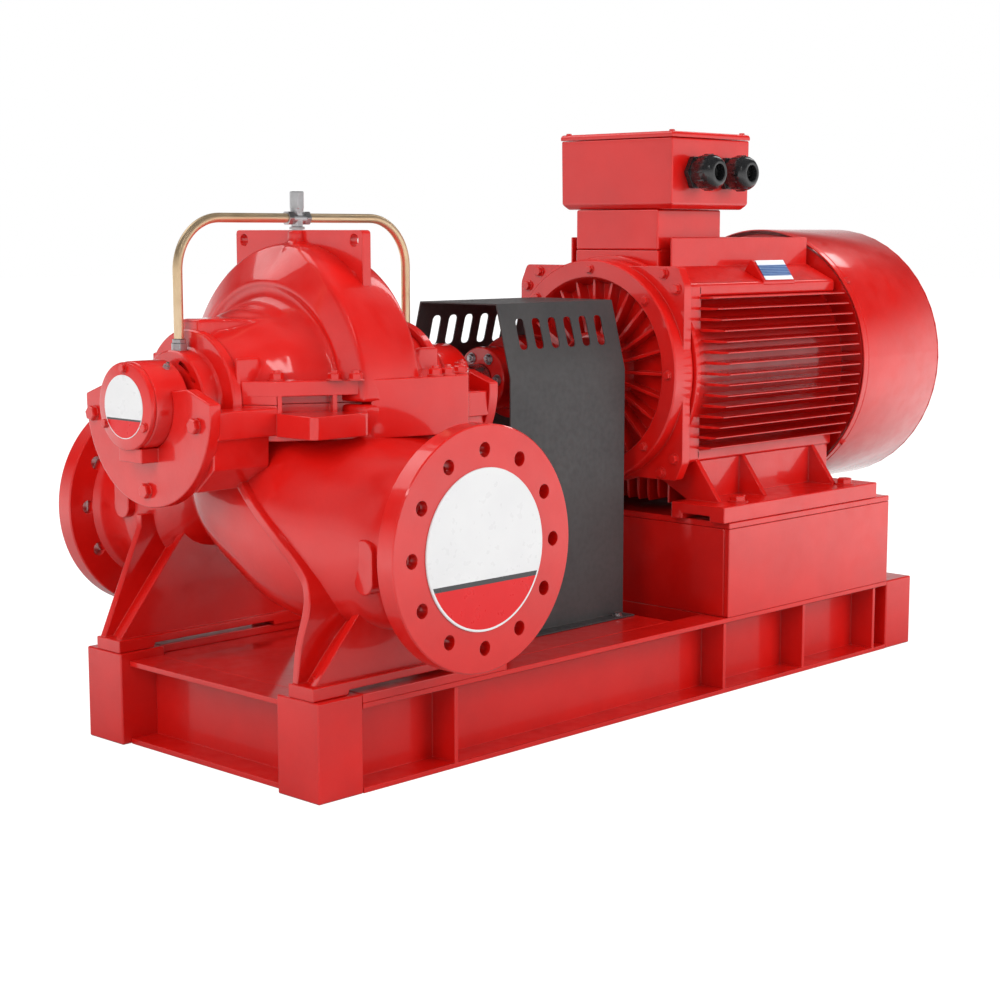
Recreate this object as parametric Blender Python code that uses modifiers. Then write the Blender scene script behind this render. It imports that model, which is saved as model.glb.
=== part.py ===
# Split case pump set: a double-suction pump, a coupling guard and a finned motor on one base frame.
# Metres, +Z up. X runs along the shaft from the pump to the motor, Y across the base.
import math

import bmesh
import bpy
from mathutils import Matrix, Vector

# Common clearances
SEAT = 0.0003           # gap between pieces that touch
RUN = 0.0005            # radial gap between the shaft line and its bearings
CLEAR = 0.006           # gap between turning and fixed pieces
MERGE = 0.00005

# Shaft line
SHAFT_Z = 0.613
PUMP_X = 0.234          # centre plane of the pump, from the base's pump end
SHAFT_R = 0.028

# Base frame
BASE_LENGTH = 1.693
BASE_WIDTH = 0.620
RAIL_HEIGHT = 0.147
RAIL_FLANGE = 0.062
FLANGE_STEEL = 0.009
WEB_STEEL = 0.007
POST_LENGTH = 0.094
POST_DEPTH = 0.100
POST_EDGE = 0.002
PAD_THICKNESS = 0.015
PAD_LENGTH = 0.424
PAD_DEPTH = 0.088
END_CHANNEL_RECESS = 0.018
STIFFENER_THICKNESS = 0.008
STIFFENER_INSET = 0.001
STIFFENER_SHARES = (0.179, 0.611, 0.766, 0.917)
DECK_END = 0.942

# Motor pedestal
PEDESTAL_START = 1.042
PEDESTAL_TOP = 0.332
PEDESTAL_PLATE = 0.012

# Pump casing, lofted about the shaft line in sections either side of its centre plane
VOLUTE_R = 0.255
VOLUTE_HALF = 0.104
VOLUTE_SHAPE = ((0.0, 1.0), (0.20, 0.998), (0.44, 0.980), (0.63, 0.953), (0.81, 0.906), (0.94, 0.843),
                (1.0, 0.784))       # share of the half thickness, share of the radius
HUMP_WIDE = 0.198
HUMP_HIGH = 0.150
HUMP_SHAPE = ((0.112, 1.0, 1.0), (0.140, 0.98, 0.99), (0.168, 0.90, 0.95), (0.190, 0.76, 0.88),
              (0.206, 0.62, 0.80))  # offset, share of the width, share of the height
BOX_DISC_R = 0.117
BOX_DISC_THICKNESS = 0.014
BOX_WAIST_R = 0.105
CASING_HALF = 0.234     # from the centre plane to the stuffing box disc's outer face
BOX_NECK_R = 0.084
BOX_NECK_LENGTH = 0.034
RIDGE_HALF = 0.024
RIDGE_TOP = 0.132       # above the shaft
RIDGE_START = 0.130     # from the centre plane
RIDGE_END = 0.214

# Split flange, its plan on one side as (offset from the centre plane, distance from the shaft)
SPLIT_SHAPE = ((-0.181, 0.160), (-0.044, 0.236), (0.049, 0.262), (0.138, 0.270), (0.253, 0.160))
SPLIT_UPPER = 0.038
SPLIT_LOWER = 0.058
POCKET_TOP = 0.018
POCKET_BOTTOM = 0.011
POCKET_DEPTH = 0.033
POCKET_SHARES = ((0.08, 0.52), (0.62, 0.96))
BOSS_PLAN = ((-0.199, 0.145), (-0.189, 0.250), (-0.069, 0.250), (-0.049, 0.225), (-0.049, 0.145))
BOSS_TOP = 0.013
BOSS_BOTTOM = 0.050
ARM_INNER = 0.113
ARM_OUTER = 0.159
ARM_TOP = 0.004
ARM_BOTTOM = 0.043

# Lower body from the discharge nozzle to the suction nozzle, as
# (place across the base, half-width, half-height, rise over the nozzles' axis)
BODY_SHAPE = ((-0.425, 0.137, 0.137, 0.0), (-0.36, 0.137, 0.137, 0.0), (-0.33, 0.142, 0.139, 0.0),
              (-0.29, 0.162, 0.147, 0.001), (-0.24, 0.192, 0.158, 0.006), (-0.18, 0.214, 0.166, 0.014),
              (-0.12, 0.221, 0.168, 0.026), (-0.06, 0.223, 0.156, 0.048), (0.0, 0.222, 0.138, 0.074),
              (0.035, 0.208, 0.126, 0.090), (0.08, 0.160, 0.112, 0.098), (0.15, 0.118, 0.110, 0.083),
              (0.21, 0.106, 0.116, 0.060), (0.26, 0.120, 0.125, 0.028), (0.30, 0.134, 0.135, 0.008),
              (0.34, 0.137, 0.137, 0.0), (0.425, 0.137, 0.137, 0.0))
BODY_SQUARENESS = 2.5
ROUND_SECTION = 2.0
TAPPING_DEPTH = 0.149   # the blank tapping bosses stand this far from the centre plane
TAPPING_HALF = 0.021
TAPPING_HEIGHT = 0.088
TAPPINGS = ((-0.322, 0.367), (0.318, 0.424))

# Pump nozzles
NOZZLE_FACE_Y = 0.443
NOZZLE_Z = 0.392
FLANGE_R = 0.198
FLANGE_THICKNESS = 0.036
FLANGE_HOLES = 12
FLANGE_PCR = 0.158
FLANGE_HOLE_R = 0.012
COVER_R = 0.130
COVER_THICKNESS = 0.003

# Pump feet
FEET = ((-1, 0.299, 0.239), (1, 0.280, 0.213))      # side, outer edge, inner edge
FOOT_THICKNESS = 0.022
FOOT_LENGTH = 0.420
FOOT_PAD = 0.074
FOOT_RELIEF = 0.008
LEG_BACK = 0.110        # the ribs' rear edge, from the foot's end
WEB_THICKNESS = 0.014
WEB_INSET = 0.010
CORE_SET = 0.013        # the core between a foot's two webs stands back by this
# Each foot's webs, as (inset at the foot, reach along the foot, height over the foot)
FRONT_WEB = (0.010, 0.120, 0.118)
REAR_INNER_WEB = (0.006, 0.165, 0.191)
REAR_OUTER_WEB = (0.003, 0.087, 0.186)
# The front ribs, as (inner y, inner z, outer y, outer z, inset from the foot's end)
RIB_SHAPE = ((0.241, 0.182, 0.254, 0.182, 0.006), (0.240, 0.240, 0.255, 0.240, 0.014),
             (0.247, 0.306, 0.263, 0.306, 0.026), (0.236, 0.341, 0.250, 0.350, 0.030),
             (0.197, 0.395, 0.208, 0.405, 0.014), (0.137, 0.452, 0.147, 0.463, 0.008),
             (0.085, 0.500, 0.094, 0.512, 0.014))

# Bearing housings
HOUSING_R = 0.071
HOUSING_END = 0.349     # from the pump's centre plane to the housing's outer face
HOUSING_LENGTH = 0.064
HOUSING_NECK_R = 0.052
BRACKET_R = 0.165
BRACKET_THICKNESS = 0.022
BRACKET_FACE = 0.319    # from the centre plane to the bracket plate's outer face
BRACKET_STEPS = 24
BRACKET_SHOULDER = 0.010
BRACKET_HORN = (0.107, 0.030)       # half-width and height over the shaft
BRACKET_CROWN = (0.078, 0.026)
CRADLE_SHAPE = ((0.150, -0.047), (0.148, -0.096), (0.104, -0.134))     # its half section, outer side
CRADLE_INNER = ((0.112, -0.047), (0.104, -0.078), (0.070, -0.105))
CRADLE_LAP = 0.030
SEAT_BLOCK_HALF = 0.030
SEAT_BLOCK_REACH = 0.033
SEAT_BLOCK_TOP = 0.065  # below the shaft
SEAT_BLOCK_BOTTOM = 0.090
COVER_PLATE = 0.010
FLANGE_STEP = 0.001
EDGE = 0.003            # broken edges on turned pieces

# Lifting plate and vent
LIFT_HALF_WIDTH = 0.165
LIFT_THICKNESS = 0.018
LIFT_TOP = SHAFT_Z + VOLUTE_R + 0.021
LIFT_BASE_SHARE = 0.70
LIFT_HOLE_R = 0.010
LIFT_HOLE_Y = LIFT_HALF_WIDTH - 0.022
LIFT_HOLE_Z = LIFT_TOP - 0.017
VENT_BOSS_R = 0.016
VENT_BOSS_SINK = 0.020
CROSS_HALF = 0.024
CROSS_R = 0.0105
STEM_R = 0.010
PIPE_R = 0.008
PIPE_Z = LIFT_TOP + 0.020
PIPE_BEND = 0.085
PIPE_STEPS = 8
CAP_R = 0.0125
CAP_HEIGHT = 0.030
CAP_TOP = LIFT_TOP + 0.065
NUT_R = 0.013
NUT_HEIGHT = 0.018
NUT_SINK = 0.004

# Guard
GUARD_START = 0.616
GUARD_END = 0.935
GUARD_SHEET = 0.003
GUARD_TOP = 0.757
GUARD_SHOULDER = 0.625
GUARD_TOP_HALF = 0.100
GUARD_HALF = 0.135
GUARD_FOOT = 0.030
GUARD_SLOTS = 6
GUARD_SLOT_MARGIN = 0.030
GUARD_SLOT_WIDTH = 0.022
GUARD_SLOT_HEIGHT = 0.056
GUARD_SLOT_ROUND = 0.004
GUARD_SLOT_RISE = 0.010

# Coupling
COUPLING_START = 0.676
COUPLING_R = 0.060
COUPLING_MOTOR_R = 0.078
COUPLING_LENGTH = 0.075

# Motor
MOTOR_FRONT = 0.985
MOTOR_RING_R = 0.219
MOTOR_RING_INNER = 0.180
MOTOR_JOINT = 1.041
MOTOR_FLANGE_R = 0.226
MOTOR_FLANGE = 0.014
CORNER_BLOCK = 1.050
CORNER_PLATE = (1.015, 1.037)
CORNER_PLATE_GROWTH = 0.011
MOTOR_DRUM_R = 0.222
MOTOR_FIN_R = 0.276
MOTOR_FIN_TOP = 0.262   # the top fins' tips, above the shaft
FIN_START = 1.077
FIN_END = 1.532
DRUM_END = 1.575
END_DISC_R = 0.268
END_DISC = 0.012
FAN_COVER_START = 1.541
FAN_COVER_END = 1.833
FAN_COVER_R = 0.278
SHEET = 0.003
MOTOR_SHAFT_R = 0.034
SIDE_FIN_PITCH = 0.0209
SIDE_FINS = 7           # on each side of the middle fin
FIN_THICKNESS = 0.005
TOP_FIN_PITCH = 0.026
TOP_FINS = 4
CORNER_SIDE = 0.203
CORNER_RISE = 0.172
CORNER_TOP_HALF = 0.130
CORNER_TOP = 0.207
LUG_ANGLES = (52, 128, 232, 308)
LUG_HALF = 0.012
LUG_INSET = 0.004
MOTOR_FOOT_START = 1.025
MOTOR_FOOT_END = 1.551
MOTOR_FOOT_THICKNESS = 0.032
MOTOR_FOOT_WIDTH = 0.130
FOOT_SLOT_OUTER = 0.274
FOOT_SLOT_INNER = 0.207
FOOT_SLOT_DEPTH = 0.060
FOOT_SLOT_HEIGHT = 0.011
FOOT_WALL = (0.186, 0.198)
FOOT_WALL_MARGIN = 0.004
GUSSET_SHARES = (0.10, 0.38, 0.84)
GUSSET_HALF = 0.006
GUSSET_FOOT = 0.262
GUSSET_ROOT = 0.100
SHIELD_RIBS = 24
SHIELD_RIB_HALF = 0.003
SHIELD_RIB_CENTRE = 0.130
SHIELD_RIB_REACH = 0.054
SHIELD_FLOOR = 0.016
SHIELD_HUB_R = 0.075

# Cooling fan and grille
FAN_OFFSET = 0.060
FAN_LENGTH = 0.070
FAN_HUB_R = 0.060
FAN_R = 0.190
FAN_BLADES = 7
FAN_BLADE_HALF = 0.004
FAN_BLADE_CHORD = 0.060
GRILLE_RADII = (0.070, 0.110, 0.150, 0.190, 0.230)
GRILLE_SLOT_HALF = 0.011
GRILLE_SPOKE_HALF = 0.010
GRILLE_SPOKES = 3

# Terminal box
TERMINAL_START = 1.060
TERMINAL_LENGTH = 0.246
TERMINAL_HALF = 0.144
NECK_BASE = SHAFT_Z + 0.237
NECK_HEIGHT = 0.080
TERMINAL_BOTTOM = NECK_BASE + NECK_HEIGHT
TERMINAL_HEIGHT = 0.150
TERMINAL_TOP = TERMINAL_BOTTOM + TERMINAL_HEIGHT
TERMINAL_LID = 0.012
LID_OVERHANG = 0.002
NECK_START = 1.064
NECK_LENGTH = 0.201
NECK_HALF = 0.107
NECK_MARGIN = 0.004
GLAND_X = (1.131, 1.235)
GLAND_Z = TERMINAL_BOTTOM + TERMINAL_HEIGHT * 0.473
GLAND_R = 0.036
GLAND_REACH = 0.062
GLAND_BORE = 0.016
GLAND_FLOOR = 0.020

# Whole set
OUTBOARD_FACE = PUMP_X - HOUSING_END - SEAT - COVER_PLATE
SET_CENTRE_X = (OUTBOARD_FACE + FAN_COVER_END) / 2

ROUND = 32
FINE = 48
SMALL = 24
REACH = 0.6             # cutting pieces reach this far past the shapes they cut
LAP = 0.004             # joined shapes overlap by this

RED = (0.62, 0.012, 0.008, 1.0)
CHARCOAL = (0.055, 0.055, 0.058, 1.0)
SILVER = (0.60, 0.60, 0.62, 1.0)
BLACK = (0.012, 0.012, 0.012, 1.0)
WHITE = (0.85, 0.85, 0.85, 1.0)
COPPER = (0.62, 0.42, 0.22, 1.0)
STEEL = (0.45, 0.45, 0.46, 1.0)


def make_material(name, colour, roughness, metallic):
    material = bpy.data.materials.new(name)
    material.use_nodes = True
    shader = material.node_tree.nodes["Principled BSDF"]
    shader.inputs["Base Color"].default_value = colour
    shader.inputs["Roughness"].default_value = roughness
    shader.inputs["Metallic"].default_value = metallic
    return material


def clear_scene():
    for item in list(bpy.data.objects):
        bpy.data.objects.remove(item, do_unlink=True)


clear_scene()
pump_set = bpy.data.collections.new("split_case_pump")
bpy.context.scene.collection.children.link(pump_set)
origin = bpy.data.objects.new("set_origin", None)
origin.location = (-SET_CENTRE_X, 0.0, 0.0)
pump_set.objects.link(origin)


def link(item):
    pump_set.objects.link(item)
    return item


def named(item, name, colour, roughness=0.3, metallic=0.0):
    """Give a finished solid its node name and material, and hang it on the set's origin."""
    item.name = name
    item.data.name = name
    item.data.materials.clear()
    item.data.materials.append(make_material(name + "_finish", colour, roughness, metallic))
    item.data.shade_smooth()
    item.data.set_sharp_from_angle(angle=math.radians(35))
    item.parent = origin
    return item


def mesh_object(mesh_data):
    mesh = bpy.data.meshes.new("solid")
    mesh_data.to_mesh(mesh)
    mesh_data.free()
    return link(bpy.data.objects.new("solid", mesh))


def bake(item, flat_caps=False):
    """Replace an object by the mesh that its modifiers or its curve give."""
    bpy.context.view_layer.update()
    graph = bpy.context.evaluated_depsgraph_get()
    mesh = bpy.data.meshes.new_from_object(item.evaluated_get(graph))
    welded = bmesh.new()
    welded.from_mesh(mesh)
    bmesh.ops.remove_doubles(welded, verts=welded.verts, dist=MERGE)
    if flat_caps:
        for side in (-1, 1):
            cap = [face for face in welded.faces if all(corner.co.z * side > 0 for corner in face.verts)]
            bmesh.ops.dissolve_faces(welded, faces=cap)
    bmesh.ops.recalc_face_normals(welded, faces=welded.faces)
    solid = mesh_object(welded)
    solid.matrix_world = item.matrix_world.copy()
    bpy.data.objects.remove(item, do_unlink=True)
    return solid


def box(x0, x1, y0, y1, z0, z1):
    cube = bmesh.new()
    bmesh.ops.create_cube(cube, size=1.0)
    bmesh.ops.scale(cube, vec=(x1 - x0, y1 - y0, z1 - z0), verts=cube.verts)
    item = mesh_object(cube)
    item.location = ((x0 + x1) / 2, (y0 + y1) / 2, (z0 + z1) / 2)
    return item


def rounded_box(x0, x1, y0, y1, z0, z1, radius, segments=2):
    item = box(x0, x1, y0, y1, z0, z1)
    bevel = item.modifiers.new("edges", "BEVEL")
    bevel.width = radius
    bevel.segments = segments
    return bake(item)


def plate(outline, low, high, plane):
    """A flat outline with a thickness. plane is XY, YZ or XZ, and low to high is its third axis."""
    curve = bpy.data.curves.new("outline", "CURVE")
    curve.dimensions = "2D"
    curve.fill_mode = "BOTH"
    curve.extrude = (high - low) / 2
    spline = curve.splines.new("POLY")
    spline.points.add(len(outline) - 1)
    for point, place in zip(spline.points, outline):
        point.co = (place[0], place[1], 0.0, 1.0)
    spline.use_cyclic_u = True
    item = link(bpy.data.objects.new("outline", curve))
    middle = (low + high) / 2
    if plane == "XY":
        item.matrix_world = Matrix.Translation((0.0, 0.0, middle))
    elif plane == "YZ":
        item.matrix_world = Matrix.Translation((middle, 0.0, 0.0)) @ Matrix(
            ((0, 0, 1, 0), (1, 0, 0, 0), (0, 1, 0, 0), (0, 0, 0, 1)))
    else:
        item.matrix_world = Matrix.Translation((0.0, middle, 0.0)) @ Matrix(
            ((1, 0, 0, 0), (0, 0, -1, 0), (0, 1, 0, 0), (0, 0, 0, 1)))
    return bake(item, flat_caps=True)


def turned(profile, steps=ROUND):
    """Turn a profile of (radius, height) points, top to bottom down its outer side, about Z."""
    mesh = bpy.data.meshes.new("profile")
    points = [(radius, 0.0, height) for radius, height in profile]
    edges = [(i, i + 1) for i in range(len(points) - 1)]
    if profile[0][0] > 0.0:
        edges.append((len(points) - 1, 0))
    mesh.from_pydata(points, edges, [])
    item = link(bpy.data.objects.new("profile", mesh))
    screw = item.modifiers.new("turn", "SCREW")
    screw.steps = steps
    screw.render_steps = steps
    screw.use_merge_vertices = True
    screw.merge_threshold = MERGE
    return bake(item)


def along_x(item, x=0.0, y=0.0, z=SHAFT_Z):
    """Lay a turned piece's axis along +X."""
    item.matrix_world = Matrix.Translation((x, y, z)) @ Matrix.Rotation(math.pi / 2, 4, "Y")
    return item


def along_y(item, x, y, z):
    """Lay a turned piece's axis along +Y."""
    item.matrix_world = Matrix.Translation((x, y, z)) @ Matrix.Rotation(-math.pi / 2, 4, "X")
    return item


def drum(radius, low, high, axis="X", x=0.0, y=0.0, z=SHAFT_Z, steps=ROUND):
    """A plain cylinder from low to high along its axis."""
    data = bmesh.new()
    bmesh.ops.create_cone(data, cap_ends=True, segments=steps, radius1=radius, radius2=radius,
                          depth=high - low)
    item = mesh_object(data)
    middle = (low + high) / 2
    if axis == "X":
        return along_x(item, x=middle, y=y, z=z)
    if axis == "Y":
        return along_y(item, x=x, y=middle, z=z)
    item.location = (x, y, middle)
    return item


def boolean(target, tool, operation):
    step = target.modifiers.new(operation.lower(), "BOOLEAN")
    step.operation = operation
    step.solver = "EXACT"
    step.object = tool
    result = bake(target)
    bpy.data.objects.remove(tool, do_unlink=True)
    return result


def join(target, *tools):
    for tool in tools:
        target = boolean(target, tool, "UNION")
    return target


def cut(target, *tools):
    for tool in tools:
        target = boolean(target, tool, "DIFFERENCE")
    return target


def ring(radius_outer, radius_inner, low, high, steps=ROUND):
    """A turned ring along X."""
    height = high - low
    profile = [(radius_inner, height), (radius_outer, height), (radius_outer, 0.0), (radius_inner, 0.0)]
    return along_x(turned(profile, steps), x=low)


# Base frame

def rail_outline(side):
    """The channel's section, open to the outside of the base, as (y, z)."""
    outer = BASE_WIDTH / 2
    inner = outer - RAIL_FLANGE
    web = inner + WEB_STEEL
    points = [(outer, 0.0), (inner, 0.0), (inner, RAIL_HEIGHT), (outer, RAIL_HEIGHT),
              (outer, RAIL_HEIGHT - FLANGE_STEEL), (web, RAIL_HEIGHT - FLANGE_STEEL),
              (web, FLANGE_STEEL), (outer, FLANGE_STEEL)]
    return [(side * y, z) for y, z in points]


def base_rail(side, name):
    start = POST_LENGTH + SEAT
    end = BASE_LENGTH - POST_LENGTH - SEAT
    rail = plate(rail_outline(side), start, end, "YZ")
    outer = BASE_WIDTH / 2
    web = outer - RAIL_FLANGE + WEB_STEEL / 2
    for share in STIFFENER_SHARES:
        place = share * BASE_LENGTH
        low, high = sorted((side * web, side * (outer - STIFFENER_INSET)))
        half = STIFFENER_THICKNESS / 2
        rail = join(rail, box(place - half, place + half, low, high,
                              FLANGE_STEEL / 2, RAIL_HEIGHT - FLANGE_STEEL / 2))
    named(rail, name, RED)


def end_channel(face_x, inward, name):
    """A channel across the base's end, open to the outside, set back from the posts."""
    outer = face_x + inward * END_CHANNEL_RECESS
    inner = outer + inward * RAIL_FLANGE
    web = inner - inward * WEB_STEEL
    half = BASE_WIDTH / 2 - POST_DEPTH - SEAT
    section = [(outer, 0.0), (inner, 0.0), (inner, RAIL_HEIGHT), (outer, RAIL_HEIGHT),
               (outer, RAIL_HEIGHT - FLANGE_STEEL), (web, RAIL_HEIGHT - FLANGE_STEEL),
               (web, FLANGE_STEEL), (outer, FLANGE_STEEL)]
    named(plate(section, -half, half, "XZ"), name, RED)


def corner_posts():
    outer = BASE_WIDTH / 2
    ends = (("pump", 0.0, RAIL_HEIGHT + PAD_THICKNESS), ("motor", BASE_LENGTH - POST_LENGTH, RAIL_HEIGHT))
    for end, start, height in ends:
        for side_name, low in (("front", -outer), ("rear", outer - POST_DEPTH)):
            post = rounded_box(start, start + POST_LENGTH, low, low + POST_DEPTH, 0.0, height, POST_EDGE, 1)
            named(post, "corner_post_" + side_name + "_" + end, RED)


def pump_pads():
    outer = BASE_WIDTH / 2
    for side_name, low in (("front", -outer), ("rear", outer - PAD_DEPTH)):
        pad = box(POST_LENGTH + SEAT, PAD_LENGTH, low, low + PAD_DEPTH,
                  RAIL_HEIGHT + SEAT, RAIL_HEIGHT + PAD_THICKNESS)
        named(pad, "pump_pad_" + side_name, RED)


def deck():
    """The plate between the rails under the pump, and the beams that carry it and the pedestal."""
    half = BASE_WIDTH / 2 - RAIL_FLANGE - SEAT
    start = END_CHANNEL_RECESS + RAIL_FLANGE
    top = box(start + SEAT, DECK_END, -half, half, RAIL_HEIGHT - FLANGE_STEEL, RAIL_HEIGHT)
    posts = [box(-SEAT, POST_LENGTH + SEAT, side - POST_DEPTH - SEAT, side + POST_DEPTH + SEAT,
                 0.0, RAIL_HEIGHT + PAD_THICKNESS) for side in (-BASE_WIDTH / 2, BASE_WIDTH / 2)]
    named(cut(top, *posts), "deck_plate", RED)
    beam = box(DECK_END - RAIL_FLANGE, DECK_END, -half, half, 0.0, RAIL_HEIGHT - FLANGE_STEEL - SEAT)
    named(beam, "cross_beam_deck", RED)
    beam = box(PEDESTAL_START, PEDESTAL_START + RAIL_FLANGE, -half, half, 0.0, RAIL_HEIGHT)
    named(beam, "cross_beam_pedestal", RED)


def pedestal():
    """The welded box that carries the motor."""
    end = BASE_LENGTH - POST_LENGTH - SEAT
    outer = BASE_WIDTH / 2
    low = RAIL_HEIGHT + SEAT
    under_top = PEDESTAL_TOP - PEDESTAL_PLATE - SEAT
    for name, side in (("pedestal_front_plate", -1), ("pedestal_rear_plate", 1)):
        y0, y1 = sorted((side * outer, side * (outer - PEDESTAL_PLATE)))
        named(box(PEDESTAL_START, end, y0, y1, low, under_top), name, RED)
    half = outer - PEDESTAL_PLATE - SEAT
    named(box(PEDESTAL_START, PEDESTAL_START + PEDESTAL_PLATE, -half, half, low, under_top),
          "pedestal_pump_end_plate", RED)
    named(box(end - PEDESTAL_PLATE, end, -half, half, low, under_top), "pedestal_fan_end_plate", RED)
    named(box(PEDESTAL_START, end, -outer, outer, PEDESTAL_TOP - PEDESTAL_PLATE, PEDESTAL_TOP),
          "pedestal_top_plate", RED)


# Pump casing

def loft(sections, along, middle, steps=FINE):
    """A solid through rounded sections. Each section is (place, across, height, centre, squareness)."""
    data = bmesh.new()
    rings = []
    for place, across, height, centre, squareness in sections:
        loop = []
        for corner in range(steps):
            angle = 2 * math.pi * corner / steps
            side = math.copysign(abs(math.cos(angle)) ** (2 / squareness), math.cos(angle)) * across
            z = centre + math.copysign(abs(math.sin(angle)) ** (2 / squareness), math.sin(angle)) * height
            point = (middle + place, side, z) if along == "X" else (middle + side, place, z)
            loop.append(data.verts.new(point))
        rings.append(loop)
    for first, second in zip(rings, rings[1:]):
        for corner in range(steps):
            after = (corner + 1) % steps
            data.faces.new((first[corner], second[corner], second[after], first[after]))
    data.faces.new(rings[0])
    data.faces.new(list(reversed(rings[-1])))
    bmesh.ops.recalc_face_normals(data, faces=data.faces)
    return mesh_object(data)


def casing_body():
    """The volute, the suction humps and the stuffing boxes in one loft along the shaft."""
    half = [(VOLUTE_HALF * s, VOLUTE_R * r, VOLUTE_R * r) for s, r in VOLUTE_SHAPE]
    half += [(s, HUMP_WIDE * wide, HUMP_HIGH * high) for s, wide, high in HUMP_SHAPE]
    disc = CASING_HALF - BOX_DISC_THICKNESS
    half += [(disc - LAP, BOX_WAIST_R, BOX_WAIST_R), (disc, BOX_WAIST_R, BOX_WAIST_R),
             (disc, BOX_DISC_R, BOX_DISC_R), (CASING_HALF, BOX_DISC_R, BOX_DISC_R),
             (CASING_HALF, BOX_NECK_R, BOX_NECK_R),
             (CASING_HALF + BOX_NECK_LENGTH, BOX_NECK_R, BOX_NECK_R)]
    sections = [(-s, wide, high) for s, wide, high in reversed(half[1:])] + half
    return loft([(s, wide, high, SHAFT_Z, ROUND_SECTION) for s, wide, high in sections], "X", PUMP_X)


def split_outline():
    """The split flange's plan, as (x, y), widened over the volute throat."""
    near = [(PUMP_X + x, -y) for x, y in SPLIT_SHAPE]
    return near + [(x, -y) for x, y in reversed(near)]


def split_flange(low, high):
    """The flange's plate, with open pockets along its slanted edges for the joint's nuts."""
    flange = plate(split_outline(), low, high, "XY")
    (x0, y0), (x1, y1) = SPLIT_SHAPE[0], SPLIT_SHAPE[1]
    length = math.hypot(x1 - x0, y1 - y0)
    out_x, out_y = (y0 - y1) / length, (x1 - x0) / length
    for side in (-1, 1):
        for first, last in POCKET_SHARES:
            corners = []
            for share, depth in ((first, -POCKET_DEPTH), (last, -POCKET_DEPTH), (last, POCKET_DEPTH),
                                 (first, POCKET_DEPTH)):
                x = x0 + (x1 - x0) * share + out_x * depth
                y = y0 + (y1 - y0) * share + out_y * depth
                corners.append((PUMP_X + x, side * y))
            flange = cut(flange, plate(corners, SHAFT_Z - POCKET_BOTTOM, SHAFT_Z + POCKET_TOP, "XY"))
    start = PUMP_X + CASING_HALF + SEAT
    trench = ARM_INNER - LAP
    return cut(flange, box(start, start + REACH, -trench, trench, SHAFT_Z - REACH, SHAFT_Z + REACH))


def shaft_bore():
    reach = HOUSING_END + BRACKET_R
    return drum(SHAFT_R + RUN, PUMP_X - reach, PUMP_X + reach, steps=ROUND)


def upper_casing():
    body = join(casing_body(), split_flange(SHAFT_Z - LAP, SHAFT_Z + SPLIT_UPPER))
    body = cut(body, box(PUMP_X - REACH, PUMP_X + REACH, -REACH, REACH, SHAFT_Z - REACH, SHAFT_Z + SEAT / 2))
    for end in (-1, 1):
        low, high = sorted((PUMP_X + end * RIDGE_START, PUMP_X + end * RIDGE_END))
        body = join(body, box(low, high, -RIDGE_HALF, RIDGE_HALF, SHAFT_Z + BOX_NECK_R, SHAFT_Z + RIDGE_TOP))
    lift = box(PUMP_X, PUMP_X + LIFT_THICKNESS, -LIFT_HALF_WIDTH, LIFT_HALF_WIDTH,
               SHAFT_Z + VOLUTE_R * LIFT_BASE_SHARE, LIFT_TOP)
    boss = drum(VENT_BOSS_R, SHAFT_Z + VOLUTE_R - VENT_BOSS_SINK, LIFT_TOP + SEAT, axis="Z",
                x=PUMP_X, y=0.0, steps=SMALL)
    body = join(body, lift, boss)
    for side in (-1, 1):
        body = cut(body, drum(LIFT_HOLE_R, PUMP_X - LIFT_THICKNESS, PUMP_X + 2 * LIFT_THICKNESS,
                              y=side * LIFT_HOLE_Y, z=LIFT_HOLE_Z, steps=SMALL))
    body = cut(body, shaft_bore())
    named(body, "upper_casing", RED)


def lower_body():
    """A loft from nozzle to nozzle: a wide lobe on the discharge side, a narrow neck on the other."""
    sections = []
    for place, wide, high, rise in BODY_SHAPE:
        squareness = BODY_SQUARENESS if rise > 0.0 else ROUND_SECTION
        sections.append((place, wide, high, NOZZLE_Z + rise, squareness))
    return loft(sections, "Y", PUMP_X, ROUND)


def tapping_boss(y, z):
    """A flat oblong boss on the side of the lower body."""
    low = PUMP_X - TAPPING_DEPTH
    straight = TAPPING_HEIGHT / 2 - TAPPING_HALF
    outline = []
    for index in range(SMALL):
        angle = 2 * math.pi * (index + 0.5) / SMALL
        rise = math.copysign(straight, math.sin(angle))
        outline.append((y + TAPPING_HALF * math.cos(angle), z + rise + TAPPING_HALF * math.sin(angle)))
    return plate(outline, low, PUMP_X - TAPPING_HALF, "YZ")


def nozzle_flange(side):
    low, high = sorted((side * NOZZLE_FACE_Y, side * (NOZZLE_FACE_Y - FLANGE_THICKNESS)))
    return drum(FLANGE_R, low, high, axis="Y", x=PUMP_X, z=NOZZLE_Z, steps=FINE)


def flange_hole_cutters():
    cutters = []
    for side in (-1, 1):
        for index in range(FLANGE_HOLES):
            angle = 2 * math.pi * index / FLANGE_HOLES
            low, high = sorted((side * (NOZZLE_FACE_Y + LAP),
                                side * (NOZZLE_FACE_Y - FLANGE_THICKNESS - LAP)))
            cutters.append(drum(FLANGE_HOLE_R, low, high, axis="Y",
                                x=PUMP_X + FLANGE_PCR * math.sin(angle),
                                z=NOZZLE_Z + FLANGE_PCR * math.cos(angle), steps=16))
    return cutters


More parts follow.
